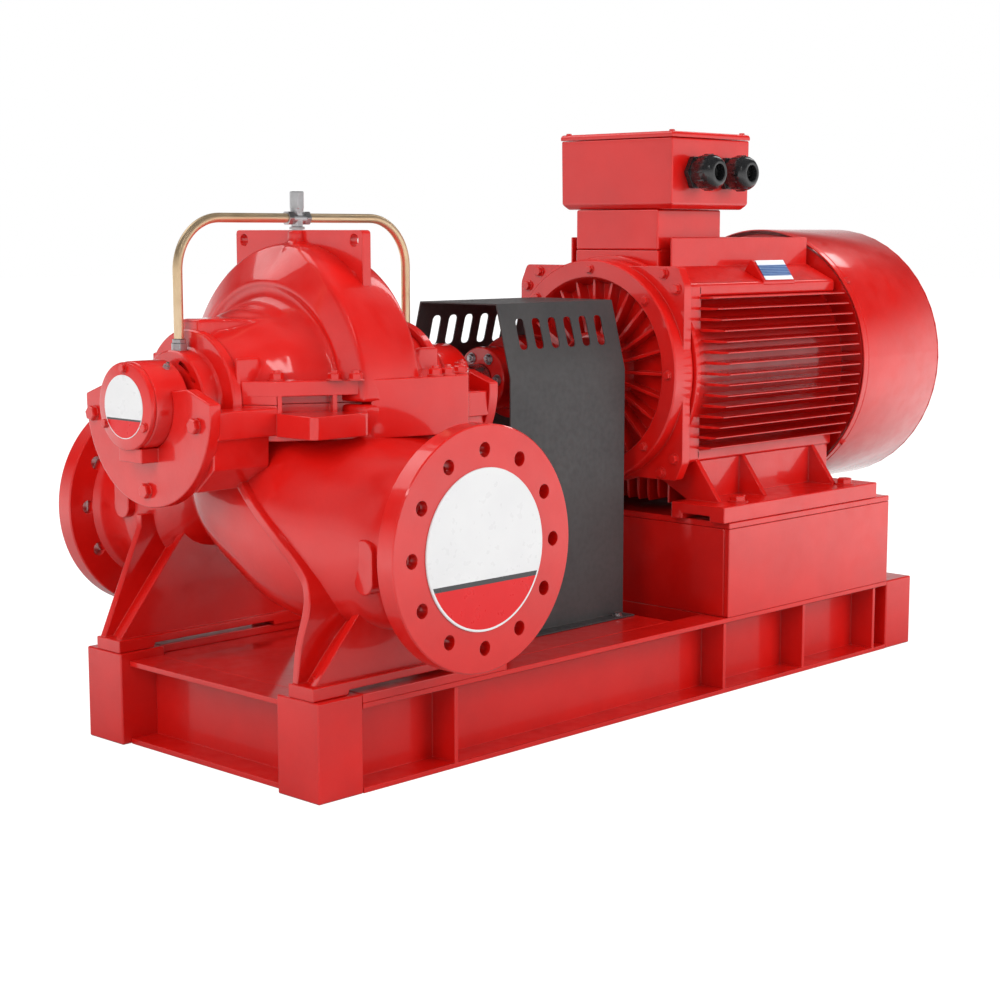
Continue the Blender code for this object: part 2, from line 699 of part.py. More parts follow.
def rib(end):
    """The front rib at one end of the casing: it rises from the foot and climbs over the lobe."""
    data = bmesh.new()
    rings = []
    for inner_y, inner_z, outer_y, outer_z, inset in RIB_SHAPE:
        places = [(inset, inner_y, inner_z), (inset, outer_y, outer_z), (LEG_BACK, outer_y, outer_z),
                  (LEG_BACK, inner_y, inner_z)]
        rings.append([data.verts.new((x if end < 0 else FOOT_LENGTH - x, -y, z)) for x, y, z in places])
    for first, second in zip(rings, rings[1:]):
        for corner in range(4):
            after = (corner + 1) % 4
            data.faces.new((first[corner], second[corner], second[after], first[after]))
    data.faces.new(rings[0])
    data.faces.new(list(reversed(rings[-1])))
    bmesh.ops.triangulate(data, faces=data.faces)
    bmesh.ops.recalc_face_normals(data, faces=data.faces)
    return mesh_object(data)


def web(shape, low, high, top, set_back=0.0):
    """A web plate along a foot, its ends sloping up to the body."""
    inset, reach, height = shape
    half = [(inset + set_back, top - LAP), (reach + set_back, top + height),
            (reach + set_back, NOZZLE_Z + LAP)]
    return plate(half + [(FOOT_LENGTH - x, z) for x, z in reversed(half)], low, high, "XZ")


def pump_leg(side, outer, inner):
    """One long foot with its webs and, at the front, the ribs that run up to the body."""
    base = RAIL_HEIGHT + PAD_THICKNESS + SEAT
    top = base + FOOT_THICKNESS
    y0, y1 = sorted((side * outer, side * inner))
    foot = box(0.0, FOOT_LENGTH, y0, y1, base, top)
    foot = cut(foot, box(FOOT_PAD, FOOT_LENGTH - FOOT_PAD, y0 - LAP, y1 + LAP,
                         base - LAP, base + FOOT_RELIEF))
    low, high = y0 + WEB_INSET, y1 - LAP
    lap = low + WEB_THICKNESS - LAP
    if side > 0:
        return join(foot, web(REAR_INNER_WEB, low, low + WEB_THICKNESS, top),
                    web(REAR_OUTER_WEB, high - WEB_THICKNESS, high, top + SEAT),
                    web(REAR_INNER_WEB, lap, high - LAP, top - SEAT, CORE_SET))
    return join(foot, web(FRONT_WEB, low, low + WEB_THICKNESS, top),
                web(FRONT_WEB, lap, high - LAP, top - SEAT, CORE_SET), rib(-1), rib(1))


def bracket(end):
    """The cradle at one end of the lower casing: a half-round plate that takes the bearing housing."""
    face = PUMP_X + end * BRACKET_FACE
    back = face - end * BRACKET_THICKNESS
    low, high = sorted((face, back))
    outline = []
    for index in range(BRACKET_STEPS + 1):
        angle = math.pi + math.pi * index / BRACKET_STEPS
        outline.append((BRACKET_R * math.cos(angle), SHAFT_Z + BRACKET_R * math.sin(angle)))
    crown = [(BRACKET_R, BRACKET_SHOULDER), BRACKET_HORN, BRACKET_CROWN]
    outline += [(y, SHAFT_Z + z) for y, z in crown] + [(-y, SHAFT_Z + z) for y, z in reversed(crown)]
    disc = plate(outline, low, high, "YZ")
    low, high = sorted((face - end * LAP, face + end * SEAT_BLOCK_REACH))
    block = box(low, high, -SEAT_BLOCK_HALF, SEAT_BLOCK_HALF,
                SHAFT_Z - SEAT_BLOCK_BOTTOM, SHAFT_Z - SEAT_BLOCK_TOP)
    disc = cut(join(disc, block), drum(HOUSING_R + SEAT, face - REACH, face + REACH))
    low, high = sorted((back + end * LAP, PUMP_X + end * (CASING_HALF - CRADLE_LAP)))
    trough = list(CRADLE_SHAPE) + [(-y, z) for y, z in reversed(CRADLE_SHAPE)]
    trough += [(-y, z) for y, z in CRADLE_INNER] + list(reversed(CRADLE_INNER))
    cradle = plate([(y, SHAFT_Z + z) for y, z in trough], low, high, "YZ")
    low, high = sorted((back + end * LAP, PUMP_X + end * (abs(SPLIT_SHAPE[0][0]) - LAP)))
    arms = [box(low, high, *sorted((side * ARM_INNER, side * ARM_OUTER)),
                SHAFT_Z - ARM_BOTTOM, SHAFT_Z - ARM_TOP) for side in (-1, 1)]
    return [cradle, disc] + arms


def lower_casing():
    body = join(casing_body(), split_flange(SHAFT_Z - SPLIT_LOWER, SHAFT_Z + LAP))
    body = cut(body, box(PUMP_X - REACH, PUMP_X + REACH, -REACH, REACH, SHAFT_Z - SEAT / 2, SHAFT_Z + REACH))
    body = join(body, lower_body(), nozzle_flange(-1), nozzle_flange(1))
    for side in (-1, 1):
        boss = [(PUMP_X + x, side * y) for x, y in BOSS_PLAN]
        body = join(body, plate(boss, SHAFT_Z - BOSS_BOTTOM, SHAFT_Z - BOSS_TOP, "XY"))
    for y, z in TAPPINGS:
        body = join(body, tapping_boss(y, z))
    for end in (-1, 1):
        body = join(body, *bracket(end))
    for side, outer, inner in FEET:
        body = join(body, pump_leg(side, outer, inner))
    body = cut(body, *flange_hole_cutters())
    body = cut(body, shaft_bore())
    named(body, "lower_casing", RED)


def bearing_housing(end, name):
    """A turned housing in its cradle, with the shaft's bore through it."""
    outer = HOUSING_END
    inner = CASING_HALF + BOX_NECK_LENGTH + CLEAR
    profile = [(SHAFT_R + RUN, outer), (HOUSING_R - EDGE, outer), (HOUSING_R, outer - EDGE),
               (HOUSING_R, outer - HOUSING_LENGTH), (HOUSING_NECK_R, outer - HOUSING_LENGTH - LAP),
               (HOUSING_NECK_R, inner), (SHAFT_R + RUN, inner)]
    if end < 0:
        profile = [(r, -s) for r, s in reversed(profile)]
    housing = along_x(turned(profile), x=PUMP_X)
    named(housing, name, RED)


def bearing_cover():
    rim = HOUSING_R - FLANGE_STEP
    profile = [(0.0, COVER_PLATE), (rim - EDGE, COVER_PLATE), (rim, COVER_PLATE - EDGE), (rim, 0.0),
               (0.0, 0.0)]
    cover = turned([(r, -s) for r, s in reversed(profile)])
    along_x(cover, x=PUMP_X - HOUSING_END - SEAT)
    named(cover, "outboard_bearing_cover", RED)


def nozzle_covers():
    for side, name in ((-1, "discharge_cover"), (1, "suction_cover")):
        low, high = sorted((side * (NOZZLE_FACE_Y + SEAT), side * (NOZZLE_FACE_Y + SEAT + COVER_THICKNESS)))
        named(drum(COVER_R, low, high, axis="Y", x=PUMP_X, z=NOZZLE_Z, steps=FINE), name, WHITE)


def pipe(points, name):
    curve = bpy.data.curves.new("pipe", "CURVE")
    curve.dimensions = "3D"
    curve.bevel_depth = PIPE_R
    curve.bevel_resolution = 2
    curve.use_fill_caps = True
    spline = curve.splines.new("POLY")
    spline.points.add(len(points) - 1)
    for point, place in zip(spline.points, points):
        point.co = (*place, 1.0)
    item = link(bpy.data.objects.new("pipe", curve))
    named(bake(item), name, COPPER, 0.25, 1.0)


def flush_pipe(leg_x, end_x, leg_z, name):
    """A pipe that rises from the stuffing box, bends and runs level to the vent cross."""
    toward = 1 if end_x > leg_x else -1
    points = [(leg_x, 0.0, leg_z)]
    for index in range(PIPE_STEPS + 1):
        angle = math.pi / 2 * index / PIPE_STEPS
        points.append((leg_x + toward * PIPE_BEND * (1 - math.cos(angle)), 0.0,
                       PIPE_Z - PIPE_BEND * (1 - math.sin(angle))))
    points.append((end_x, 0.0, PIPE_Z))
    pipe(points, name)


def vent_and_pipes():
    cap_base = CAP_TOP - CAP_HEIGHT
    stem = drum(STEM_R, LIFT_TOP + 2 * SEAT, cap_base, axis="Z", x=PUMP_X, steps=6)
    arm = drum(CROSS_R, PUMP_X - CROSS_HALF, PUMP_X + CROSS_HALF, z=PIPE_Z, steps=SMALL)
    named(join(stem, arm), "vent_cross", SILVER, 0.3, 1.0)
    cap = drum(CAP_R, cap_base + SEAT, CAP_TOP, axis="Z", x=PUMP_X, steps=6)
    named(cap, "vent_cap", SILVER, 0.3, 1.0)
    nut_base = SHAFT_Z + BOX_NECK_R + SEAT
    for name, end in (("outboard", -1), ("inboard", 1)):
        x = PUMP_X + end * (CASING_HALF + BOX_NECK_LENGTH / 2)
        nut = drum(NUT_R, nut_base - NUT_SINK, nut_base + NUT_HEIGHT, axis="Z", x=x, steps=6)
        nut = cut(nut, drum(BOX_NECK_R + SEAT, x - 2 * NUT_R, x + 2 * NUT_R, steps=FINE))
        named(nut, "pipe_nut_" + name, SILVER, 0.3, 1.0)
        flush_pipe(x, PUMP_X + end * (CROSS_HALF + SEAT), nut_base + NUT_HEIGHT + SEAT, "flush_pipe_" + name)


# Guard

def coupling_guard():
    """One folded sheet: an inverted U with chamfered shoulders and feet turned out."""
    foot_z = RAIL_HEIGHT + SEAT
    t = GUARD_SHEET
    outer = [(GUARD_HALF + GUARD_FOOT, foot_z), (GUARD_HALF + GUARD_FOOT, foot_z + t),
             (GUARD_HALF, foot_z + t), (GUARD_HALF, GUARD_SHOULDER), (GUARD_TOP_HALF, GUARD_TOP)]
    inner = [(GUARD_TOP_HALF - t * 0.85, GUARD_TOP - t), (GUARD_HALF - t, GUARD_SHOULDER - t * 0.15),
             (GUARD_HALF - t, foot_z)]
    outline = outer + [(-y, z) for y, z in reversed(outer)]
    outline += [(-y, z) for y, z in reversed(inner)] + inner
    guard = plate(outline, GUARD_START, GUARD_END, "YZ")
    pitch = (GUARD_END - GUARD_START - 2 * GUARD_SLOT_MARGIN) / GUARD_SLOTS
    middle = (GUARD_TOP + GUARD_SHOULDER) / 2 + GUARD_SLOT_RISE
    for index in range(GUARD_SLOTS):
        x = GUARD_START + GUARD_SLOT_MARGIN + pitch * (index + 0.5)
        slot = rounded_box(x - GUARD_SLOT_WIDTH / 2, x + GUARD_SLOT_WIDTH / 2, -2 * GUARD_HALF,
                           2 * GUARD_HALF, -GUARD_SLOT_HEIGHT / 2, GUARD_SLOT_HEIGHT / 2, GUARD_SLOT_ROUND)
        slot.location = slot.location + Vector((0, 0, middle))
        guard = cut(guard, slot)
    named(guard, "coupling_guard", CHARCOAL, 0.45)


# Drive line

def drive_line():
    start = PUMP_X - HOUSING_END + CLEAR
    shaft = drum(SHAFT_R, start, COUPLING_START - SEAT, steps=ROUND)
    named(shaft, "pump_shaft", STEEL, 0.3, 1.0)
    pump_end = COUPLING_START + COUPLING_LENGTH
    named(drum(COUPLING_R, COUPLING_START, pump_end, steps=ROUND), "pump_coupling_half", RED)
    motor_start = pump_end + SEAT
    motor_end = motor_start + COUPLING_LENGTH
    named(drum(COUPLING_MOTOR_R, motor_start, motor_end, steps=ROUND), "motor_coupling_half", RED)
    fan_x = FAN_COVER_START + FAN_OFFSET
    shaft = drum(MOTOR_SHAFT_R, motor_end + SEAT, fan_x - SEAT, steps=ROUND)
    named(shaft, "motor_shaft", STEEL, 0.3, 1.0)
    fan = drum(FAN_HUB_R, fan_x, fan_x + FAN_LENGTH, steps=SMALL)
    root = FAN_HUB_R - 2 * LAP
    for index in range(FAN_BLADES):
        blade = box(-FAN_BLADE_CHORD / 2, FAN_BLADE_CHORD / 2, -FAN_BLADE_HALF, FAN_BLADE_HALF,
                    (root - FAN_R) / 2, (FAN_R - root) / 2)
        blade.matrix_world = (Matrix.Translation((fan_x + FAN_LENGTH / 2, 0, SHAFT_Z))
                              @ Matrix.Rotation(2 * math.pi * index / FAN_BLADES, 4, "X")
                              @ Matrix.Translation((0, 0, (FAN_R + root) / 2)))
        fan = join(fan, blade)
    named(fan, "cooling_fan", BLACK, 0.5)


# Motor

def fin(offset, limit):
    """One fin's corners as (along, outward): root, tip, tip, root."""
    half = FIN_THICKNESS / 2
    far = abs(offset) + half
    root = math.sqrt(MOTOR_DRUM_R ** 2 - far ** 2)
    tip = min(limit, math.sqrt(MOTOR_FIN_R ** 2 - far ** 2))
    return [(offset - half, root), (offset - half, tip), (offset + half, tip), (offset + half, root)]


def frame_quarter():
    """A quarter of the finned frame's section as (y, z over the shaft), from the side to the top."""
    points = [(out, z) for z, out in fin(0.0, MOTOR_FIN_R)[2:]]
    for index in range(1, SIDE_FINS + 1):
        points += [(out, z) for z, out in fin(index * SIDE_FIN_PITCH, MOTOR_FIN_R)]
    points = points[:-1]
    shelf = points[-1][1]
    panel = fin(CORNER_TOP_HALF - FIN_THICKNESS / 2, MOTOR_FIN_TOP)
    points += [(CORNER_SIDE, shelf), (CORNER_SIDE, CORNER_RISE), (CORNER_TOP_HALF, CORNER_TOP)]
    points += [panel[2], panel[1], panel[0]]
    for index in range(TOP_FINS, 0, -1):
        points += reversed(fin(index * TOP_FIN_PITCH, MOTOR_FIN_TOP))
    return points + list(reversed(fin(0.0, MOTOR_FIN_TOP)[2:]))


def frame_outline():
    quarter = frame_quarter()
    points = quarter + [(-y, z) for y, z in reversed(quarter)] + [(-y, -z) for y, z in quarter] + [
        (y, -z) for y, z in reversed(quarter)]
    return [(y, SHAFT_Z + z) for y, z in points]


def corner_outline(growth=0.0):
    """A plate with its corners cut off, as wide as the frame's corner blocks plus a growth."""
    corner = [(CORNER_SIDE + growth, CORNER_RISE), (CORNER_SIDE - growth / 2, CORNER_TOP),
              (CORNER_TOP_HALF, CORNER_TOP)] if growth else [
                  (CORNER_SIDE, CORNER_RISE), (CORNER_TOP_HALF, CORNER_TOP)]
    upper = corner + [(-y, z) for y, z in reversed(corner)]
    return [(y, SHAFT_Z + z) for y, z in upper] + [(y, SHAFT_Z - z) for y, z in reversed(upper)]


def motor_frame():
    start = MOTOR_JOINT + SEAT
    body = drum(MOTOR_DRUM_R - LAP, start, DRUM_END, steps=FINE)
    body = join(body, plate(frame_outline(), FIN_START, FIN_END, "YZ"))
    disc = FAN_COVER_START + 2 * LUG_INSET
    body = join(body, drum(END_DISC_R, disc, disc + END_DISC, steps=FINE))
    body = join(body, drum(MOTOR_FLANGE_R, start + LAP / 4, start + MOTOR_FLANGE - LAP / 2, steps=FINE))
    body = join(body, plate(corner_outline(), CORNER_BLOCK, FIN_START + LAP, "YZ"))
    for side in (-1, 1):
        body = join(body, motor_foot(side))
    end = NECK_START + NECK_LENGTH
    body = join(body, box(NECK_START, end, -NECK_HALF, NECK_HALF, SHAFT_Z + CORNER_RISE, NECK_BASE))
    body = cut(body, box(NECK_START - NECK_MARGIN, end + NECK_MARGIN, -NECK_HALF - NECK_MARGIN,
                         NECK_HALF + NECK_MARGIN, NECK_BASE, NECK_BASE + NECK_HEIGHT))
    seat = FAN_COVER_R - SHEET - SEAT
    for angle in LUG_ANGLES:
        lug = box(FAN_COVER_START + LUG_INSET, DRUM_END - LUG_INSET, -LUG_HALF, LUG_HALF,
                  MOTOR_DRUM_R - LUG_HALF, seat + LUG_HALF)
        turn = Matrix.Rotation(math.radians(angle), 4, "X")
        lug.matrix_world = Matrix.Translation((0, 0, SHAFT_Z)) @ turn @ lug.matrix_basis
        lug = boolean(lug, drum(seat, FAN_COVER_START - REACH, DRUM_END + REACH, steps=FINE), "INTERSECT")
        body = join(body, lug)
    body = cut(body, drum(MOTOR_SHAFT_R + RUN, start - REACH, DRUM_END + REACH))
    named(body, "motor_frame", RED)


def motor_foot(side):
    """A foot slab along one side of the motor, with a wall and gussets up to the frame."""
    outer = BASE_WIDTH / 2
    low = PEDESTAL_TOP + SEAT
    high = low + MOTOR_FOOT_THICKNESS
    foot_y = sorted((side * outer, side * (outer - MOTOR_FOOT_WIDTH)))
    foot = box(MOTOR_FOOT_START, MOTOR_FOOT_END, *foot_y, low, high)
    slot_y = sorted((side * FOOT_SLOT_OUTER, side * FOOT_SLOT_INNER))
    for x0, x1 in ((MOTOR_FOOT_START - LAP, MOTOR_FOOT_START + FOOT_SLOT_DEPTH),
                   (MOTOR_FOOT_END - FOOT_SLOT_DEPTH, MOTOR_FOOT_END + LAP)):
        foot = cut(foot, box(x0, x1, *slot_y, low - LAP, low + FOOT_SLOT_HEIGHT))
    shelf = SHAFT_Z - CORNER_RISE
    foot = join(foot, box(FIN_START + FOOT_WALL_MARGIN, FIN_END - FOOT_WALL_MARGIN,
                          *sorted(side * y for y in FOOT_WALL), high - LAP, shelf + LAP))
    drop = SHAFT_Z - CORNER_TOP
    gusset = [(side * GUSSET_FOOT, high - LAP), (side * (CORNER_SIDE - LAP / 2), shelf + LAP),
              (side * GUSSET_ROOT, shelf), (side * GUSSET_ROOT, drop), (side * FOOT_WALL[0], high - LAP)]
    for share in GUSSET_SHARES:
        x = MOTOR_FOOT_START + share * (MOTOR_FOOT_END - MOTOR_FOOT_START)
        foot = join(foot, plate(gusset, x - GUSSET_HALF, x + GUSSET_HALF, "YZ"))
    return foot


def drive_end_shield():
    start = MOTOR_FRONT
    end = MOTOR_JOINT
    depth = end - start
    hub = depth + SHIELD_FLOOR / 2
    profile = [(MOTOR_SHAFT_R + RUN, hub), (SHIELD_HUB_R - 2 * LAP, hub), (SHIELD_HUB_R, depth),
               (SHIELD_HUB_R + LAP, SHIELD_FLOOR), (MOTOR_RING_INNER - 2 * LAP, SHIELD_FLOOR),
               (MOTOR_RING_INNER, depth - LAP), (MOTOR_RING_INNER + LAP, depth), (MOTOR_RING_R - LAP, depth),
               (MOTOR_RING_R, depth - LAP), (MOTOR_RING_R, 0.0), (MOTOR_SHAFT_R + RUN, 0.0)]
    shield = turned([(r, -s) for r, s in reversed(profile)], FINE)
    along_x(shield, x=end)
    corners = plate(corner_outline(CORNER_PLATE_GROWTH), *CORNER_PLATE, "YZ")
    shield = join(shield, cut(corners, drum(MOTOR_RING_R - 2 * LAP, start, end, steps=FINE)))
    rib_depth = depth / 4
    for index in range(SHIELD_RIBS):
        rib = box(-rib_depth, rib_depth, -SHIELD_RIB_HALF, SHIELD_RIB_HALF,
                  -SHIELD_RIB_REACH, SHIELD_RIB_REACH)
        rib.matrix_world = (Matrix.Translation((end - depth / 2, 0, SHAFT_Z))
                            @ Matrix.Rotation(2 * math.pi * index / SHIELD_RIBS, 4, "X")
                            @ Matrix.Translation((0, 0, SHIELD_RIB_CENTRE)))
        shield = join(shield, rib)
    named(shield, "drive_end_shield", RED)


def fan_cover():
    start = FAN_COVER_START
    end = FAN_COVER_END - SHEET - SEAT
    inner = FAN_COVER_R - SHEET
    profile = [(inner, end), (FAN_COVER_R, end), (FAN_COVER_R, start), (inner, start)]
    named(along_x(turned(profile, FINE)), "fan_cover", RED)
    start = FAN_COVER_END - SHEET
    grille = drum(FAN_COVER_R - SEAT, start, FAN_COVER_END, steps=FINE)
    for radius in GRILLE_RADII:
        slot = ring(radius + GRILLE_SLOT_HALF, radius - GRILLE_SLOT_HALF, start - LAP, FAN_COVER_END + LAP)
        for index in range(GRILLE_SPOKES):
            spoke = box(-2 * LAP, 2 * LAP, -GRILLE_SPOKE_HALF, GRILLE_SPOKE_HALF, -FAN_COVER_R, FAN_COVER_R)
            spoke.matrix_world = (Matrix.Translation((FAN_COVER_END, 0, SHAFT_Z))
                                  @ Matrix.Rotation(math.pi / GRILLE_SPOKES * index, 4, "X"))
            slot = cut(slot, spoke)
        grille = cut(grille, slot)
    named(grille, "fan_grille", RED)


def terminal_box():
    neck = box(NECK_START, NECK_START + NECK_LENGTH, -NECK_HALF, NECK_HALF, NECK_BASE + SEAT,
               TERMINAL_BOTTOM - SEAT)
    named(neck, "terminal_neck", RED)
    end = TERMINAL_START + TERMINAL_LENGTH
    body = box(TERMINAL_START, end, -TERMINAL_HALF, TERMINAL_HALF, TERMINAL_BOTTOM,
               TERMINAL_TOP - TERMINAL_LID - SEAT)
    named(body, "terminal_box", RED)
    lid_half = TERMINAL_HALF + LID_OVERHANG
    lid = box(TERMINAL_START - LID_OVERHANG, end + LID_OVERHANG, -lid_half, lid_half,
              TERMINAL_TOP - TERMINAL_LID, TERMINAL_TOP)
    named(lid, "terminal_lid", RED)
    for x, name in zip(GLAND_X, ("cable_gland_left", "cable_gland_right")):
        profile = [(0.0, GLAND_FLOOR), (GLAND_BORE, GLAND_FLOOR), (GLAND_BORE, GLAND_REACH),
                   (GLAND_R - 2 * LAP, GLAND_REACH), (GLAND_R - LAP / 2, GLAND_REACH - 2 * LAP),
                   (GLAND_R - LAP / 2, GLAND_FLOOR + 2 * LAP), (GLAND_R - LAP, GLAND_FLOOR + LAP),
                   (GLAND_R - LAP, GLAND_FLOOR), (GLAND_R, GLAND_FLOOR - LAP), (GLAND_R, 0.0), (0.0, 0.0)]
        gland = turned(profile, SMALL)
        gland.matrix_world = (Matrix.Translation((x, -TERMINAL_HALF - SEAT, GLAND_Z))
                              @ Matrix.Rotation(math.pi / 2, 4, "X"))
        named(gland, name, BLACK, 0.25)


def build():
    base_rail(-1, "base_rail_front")
    base_rail(1, "base_rail_rear")
    end_channel(0.0, 1, "end_channel_pump")
    end_channel(BASE_LENGTH, -1, "end_channel_motor")
    corner_posts()
    pump_pads()
    deck()
    pedestal()
    upper_casing()
    lower_casing()
    bearing_housing(-1, "outboard_bearing_housing")
    bearing_housing(1, "inboard_bearing_housing")
    bearing_cover()
    nozzle_covers()
    vent_and_pipes()
    coupling_guard()
    drive_line()
    motor_frame()
    drive_end_shield()
    fan_cover()
    terminal_box()


build()
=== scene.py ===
# Looks for the split case pump set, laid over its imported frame. Metres, +Z up, +X from pump to motor.
import math

import bmesh
import bpy
from mathutils import Matrix, Vector


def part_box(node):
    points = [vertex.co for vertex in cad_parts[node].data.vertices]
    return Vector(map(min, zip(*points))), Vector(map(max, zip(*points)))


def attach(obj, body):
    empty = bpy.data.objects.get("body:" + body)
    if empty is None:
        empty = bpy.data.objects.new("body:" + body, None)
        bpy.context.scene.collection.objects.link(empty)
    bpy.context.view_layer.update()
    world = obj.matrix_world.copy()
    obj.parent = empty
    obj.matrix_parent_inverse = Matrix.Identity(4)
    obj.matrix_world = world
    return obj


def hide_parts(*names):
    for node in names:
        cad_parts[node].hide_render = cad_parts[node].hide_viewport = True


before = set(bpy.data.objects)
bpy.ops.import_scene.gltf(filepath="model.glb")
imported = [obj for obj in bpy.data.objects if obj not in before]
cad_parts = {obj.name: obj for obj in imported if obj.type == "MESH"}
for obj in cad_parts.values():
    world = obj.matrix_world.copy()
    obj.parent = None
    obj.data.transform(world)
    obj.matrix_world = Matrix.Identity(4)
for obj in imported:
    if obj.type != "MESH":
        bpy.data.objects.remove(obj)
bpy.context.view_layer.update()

FIXED = "pump_frame"
TURNING = "drive_line"

# The shaft line and the pump's centre plane. X is measured from the base's pump end until a piece is
# fitted, and fitting moves it by the frame's own shift.
SHAFT_Z = 0.613
PUMP_X = 0.234
COVER_LOW, COVER_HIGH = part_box("discharge_cover")
SET_SHIFT = PUMP_X - (COVER_LOW[0] + COVER_HIGH[0]) / 2


def at(x):
    """An X measured from the base's pump end, in the frame's own coordinates."""
    return x - SET_SHIFT


# Camera and light

def set_camera():
    data = bpy.data.cameras.new("camera")
    data.lens = 69.74
    data.sensor_width = 36.0
    camera = bpy.data.objects.new("camera", data)
    camera.location = (at(-1.91239), -2.5385, 0.8859)
    camera.rotation_euler = (math.radians(90 - 7.88), 0.0, math.radians(43.862 - 90))
    bpy.context.scene.collection.objects.link(camera)
    bpy.context.scene.camera = camera


def area_lamp(name, place, target, size, power, height=None, mirrored=False):
    data = bpy.data.lights.new(name, "AREA")
    data.shape = "RECTANGLE"
    data.size = size
    data.size_y = height or size
    data.energy = power
    lamp = bpy.data.objects.new(name, data)
    lamp.location = place
    lamp.visible_glossy = mirrored
    lamp.rotation_euler = (Vector(target) - Vector(place)).to_track_quat("-Z", "Y").to_euler()
    bpy.context.scene.collection.objects.link(lamp)


def ray_seen(nodes, links):
    """1 for camera, glossy and transmission rays, 0 for the rays that light the object."""
    path = nodes.new("ShaderNodeLightPath")
    first = nodes.new("ShaderNodeMath")
    first.operation = "MAXIMUM"
    links.new(path.outputs["Is Glossy Ray"], first.inputs[0])
    links.new(path.outputs["Is Transmission Ray"], first.inputs[1])
    second = nodes.new("ShaderNodeMath")
    second.operation = "MAXIMUM"
    links.new(path.outputs["Is Camera Ray"], second.inputs[0])
    links.new(first.outputs[0], second.inputs[1])
    return second.outputs[0]


def set_world():
    """White all round for what is seen or mirrored, darker overhead so that curved paint keeps its depth."""
    world = bpy.data.worlds.new("studio")
    bpy.context.scene.world = world
    world.use_nodes = True
    nodes, links = world.node_tree.nodes, world.node_tree.links
    nodes.clear()
    path = nodes.new("ShaderNodeLightPath")
    place = nodes.new("ShaderNodeTexCoord")
    split = nodes.new("ShaderNodeSeparateXYZ")
    links.new(place.outputs["Generated"], split.inputs[0])
    height = nodes.new("ShaderNodeMapRange")
    height.interpolation_type = "SMOOTHSTEP"
    height.inputs["From Min"].default_value = 0.0
    height.inputs["From Max"].default_value = 0.36
    height.inputs["To Min"].default_value = 0.9
    height.inputs["To Max"].default_value = 0.03
    links.new(split.outputs["Z"], height.inputs["Value"])
    mirrored = nodes.new("ShaderNodeMath")
    mirrored.operation = "MAXIMUM"
    links.new(path.outputs["Is Camera Ray"], mirrored.inputs[0])
    links.new(height.outputs["Result"], mirrored.inputs[1])
    soft = nodes.new("ShaderNodeBackground")
    soft.inputs["Strength"].default_value = WORLD_LIGHT
    white = nodes.new("ShaderNodeBackground")
    links.new(mirrored.outputs[0], white.inputs["Strength"])
    for shader in (soft, white):
        shader.inputs["Color"].default_value = (1.0, 1.0, 1.0, 1.0)
    mix = nodes.new("ShaderNodeMixShader")
    links.new(ray_seen(nodes, links), mix.inputs[0])
    links.new(soft.outputs[0], mix.inputs[1])
    links.new(white.outputs[0], mix.inputs[2])
    out = nodes.new("ShaderNodeOutputWorld")
    links.new(mix.outputs[0], out.inputs["Surface"])


def set_floor():
    mesh = bpy.data.meshes.new("floor")
    reach = 30.0
    mesh.from_pydata([(-reach, -reach, 0), (reach, -reach, 0), (reach, reach, 0), (-reach, reach, 0)],
                     [], [(0, 1, 2, 3)])
    mesh.transform(Matrix.Translation((0.0, 0.0, -0.0005)))
    floor = bpy.data.objects.new("floor", mesh)
    bpy.context.scene.collection.objects.link(floor)
    material = bpy.data.materials.new("pale_floor")
    material.use_nodes = True
    nodes, links = material.node_tree.nodes, material.node_tree.links
    nodes.clear()
    matte = nodes.new("ShaderNodeBsdfDiffuse")
    matte.inputs["Color"].default_value = (0.62, 0.62, 0.62, 1.0)
    shade = nodes.new("ShaderNodeBsdfDiffuse")
    shade.inputs["Color"].default_value = (0.20, 0.20, 0.20, 1.0)
    glow = nodes.new("ShaderNodeEmission")
    glow.inputs["Color"].default_value = (1.0, 1.0, 1.0, 1.0)
    # The floor's glow, as seen in reflections, is dimmed near the set and full far off: painted shade under the set.
    # Camera rays keep the floor evenly bright.
    place = nodes.new("ShaderNodeTexCoord")
    away = nodes.new("ShaderNodeVectorMath")
    away.operation = "LENGTH"
    links.new(place.outputs["Object"], away.inputs[0])
    fall = nodes.new("ShaderNodeMapRange")
    fall.interpolation_type = "SMOOTHSTEP"
    fall.inputs["From Min"].default_value = 0.6
    fall.inputs["From Max"].default_value = 2.8
    fall.inputs["To Min"].default_value = 0.05
    fall.inputs["To Max"].default_value = 1.0
    links.new(away.outputs["Value"], fall.inputs["Value"])
    path = nodes.new("ShaderNodeLightPath")
    direct = nodes.new("ShaderNodeMath")
    direct.operation = "MULTIPLY"
    direct.inputs[1].default_value = 0.94
    links.new(path.outputs["Is Camera Ray"], direct.inputs[0])
    level = nodes.new("ShaderNodeMath")
    level.operation = "MAXIMUM"
    links.new(direct.outputs[0], level.inputs[0])
    links.new(fall.outputs["Result"], level.inputs[1])
    links.new(level.outputs[0], glow.inputs["Strength"])
    lit = nodes.new("ShaderNodeAddShader")
    links.new(shade.outputs[0], lit.inputs[0])
    links.new(glow.outputs[0], lit.inputs[1])
    mix = nodes.new("ShaderNodeMixShader")
    links.new(ray_seen(nodes, links), mix.inputs[0])
    links.new(matte.outputs[0], mix.inputs[1])
    links.new(lit.outputs[0], mix.inputs[2])
    out = nodes.new("ShaderNodeOutputMaterial")
    links.new(mix.outputs[0], out.inputs["Surface"])
    mesh.materials.append(material)


WORLD_LIGHT = 0.60


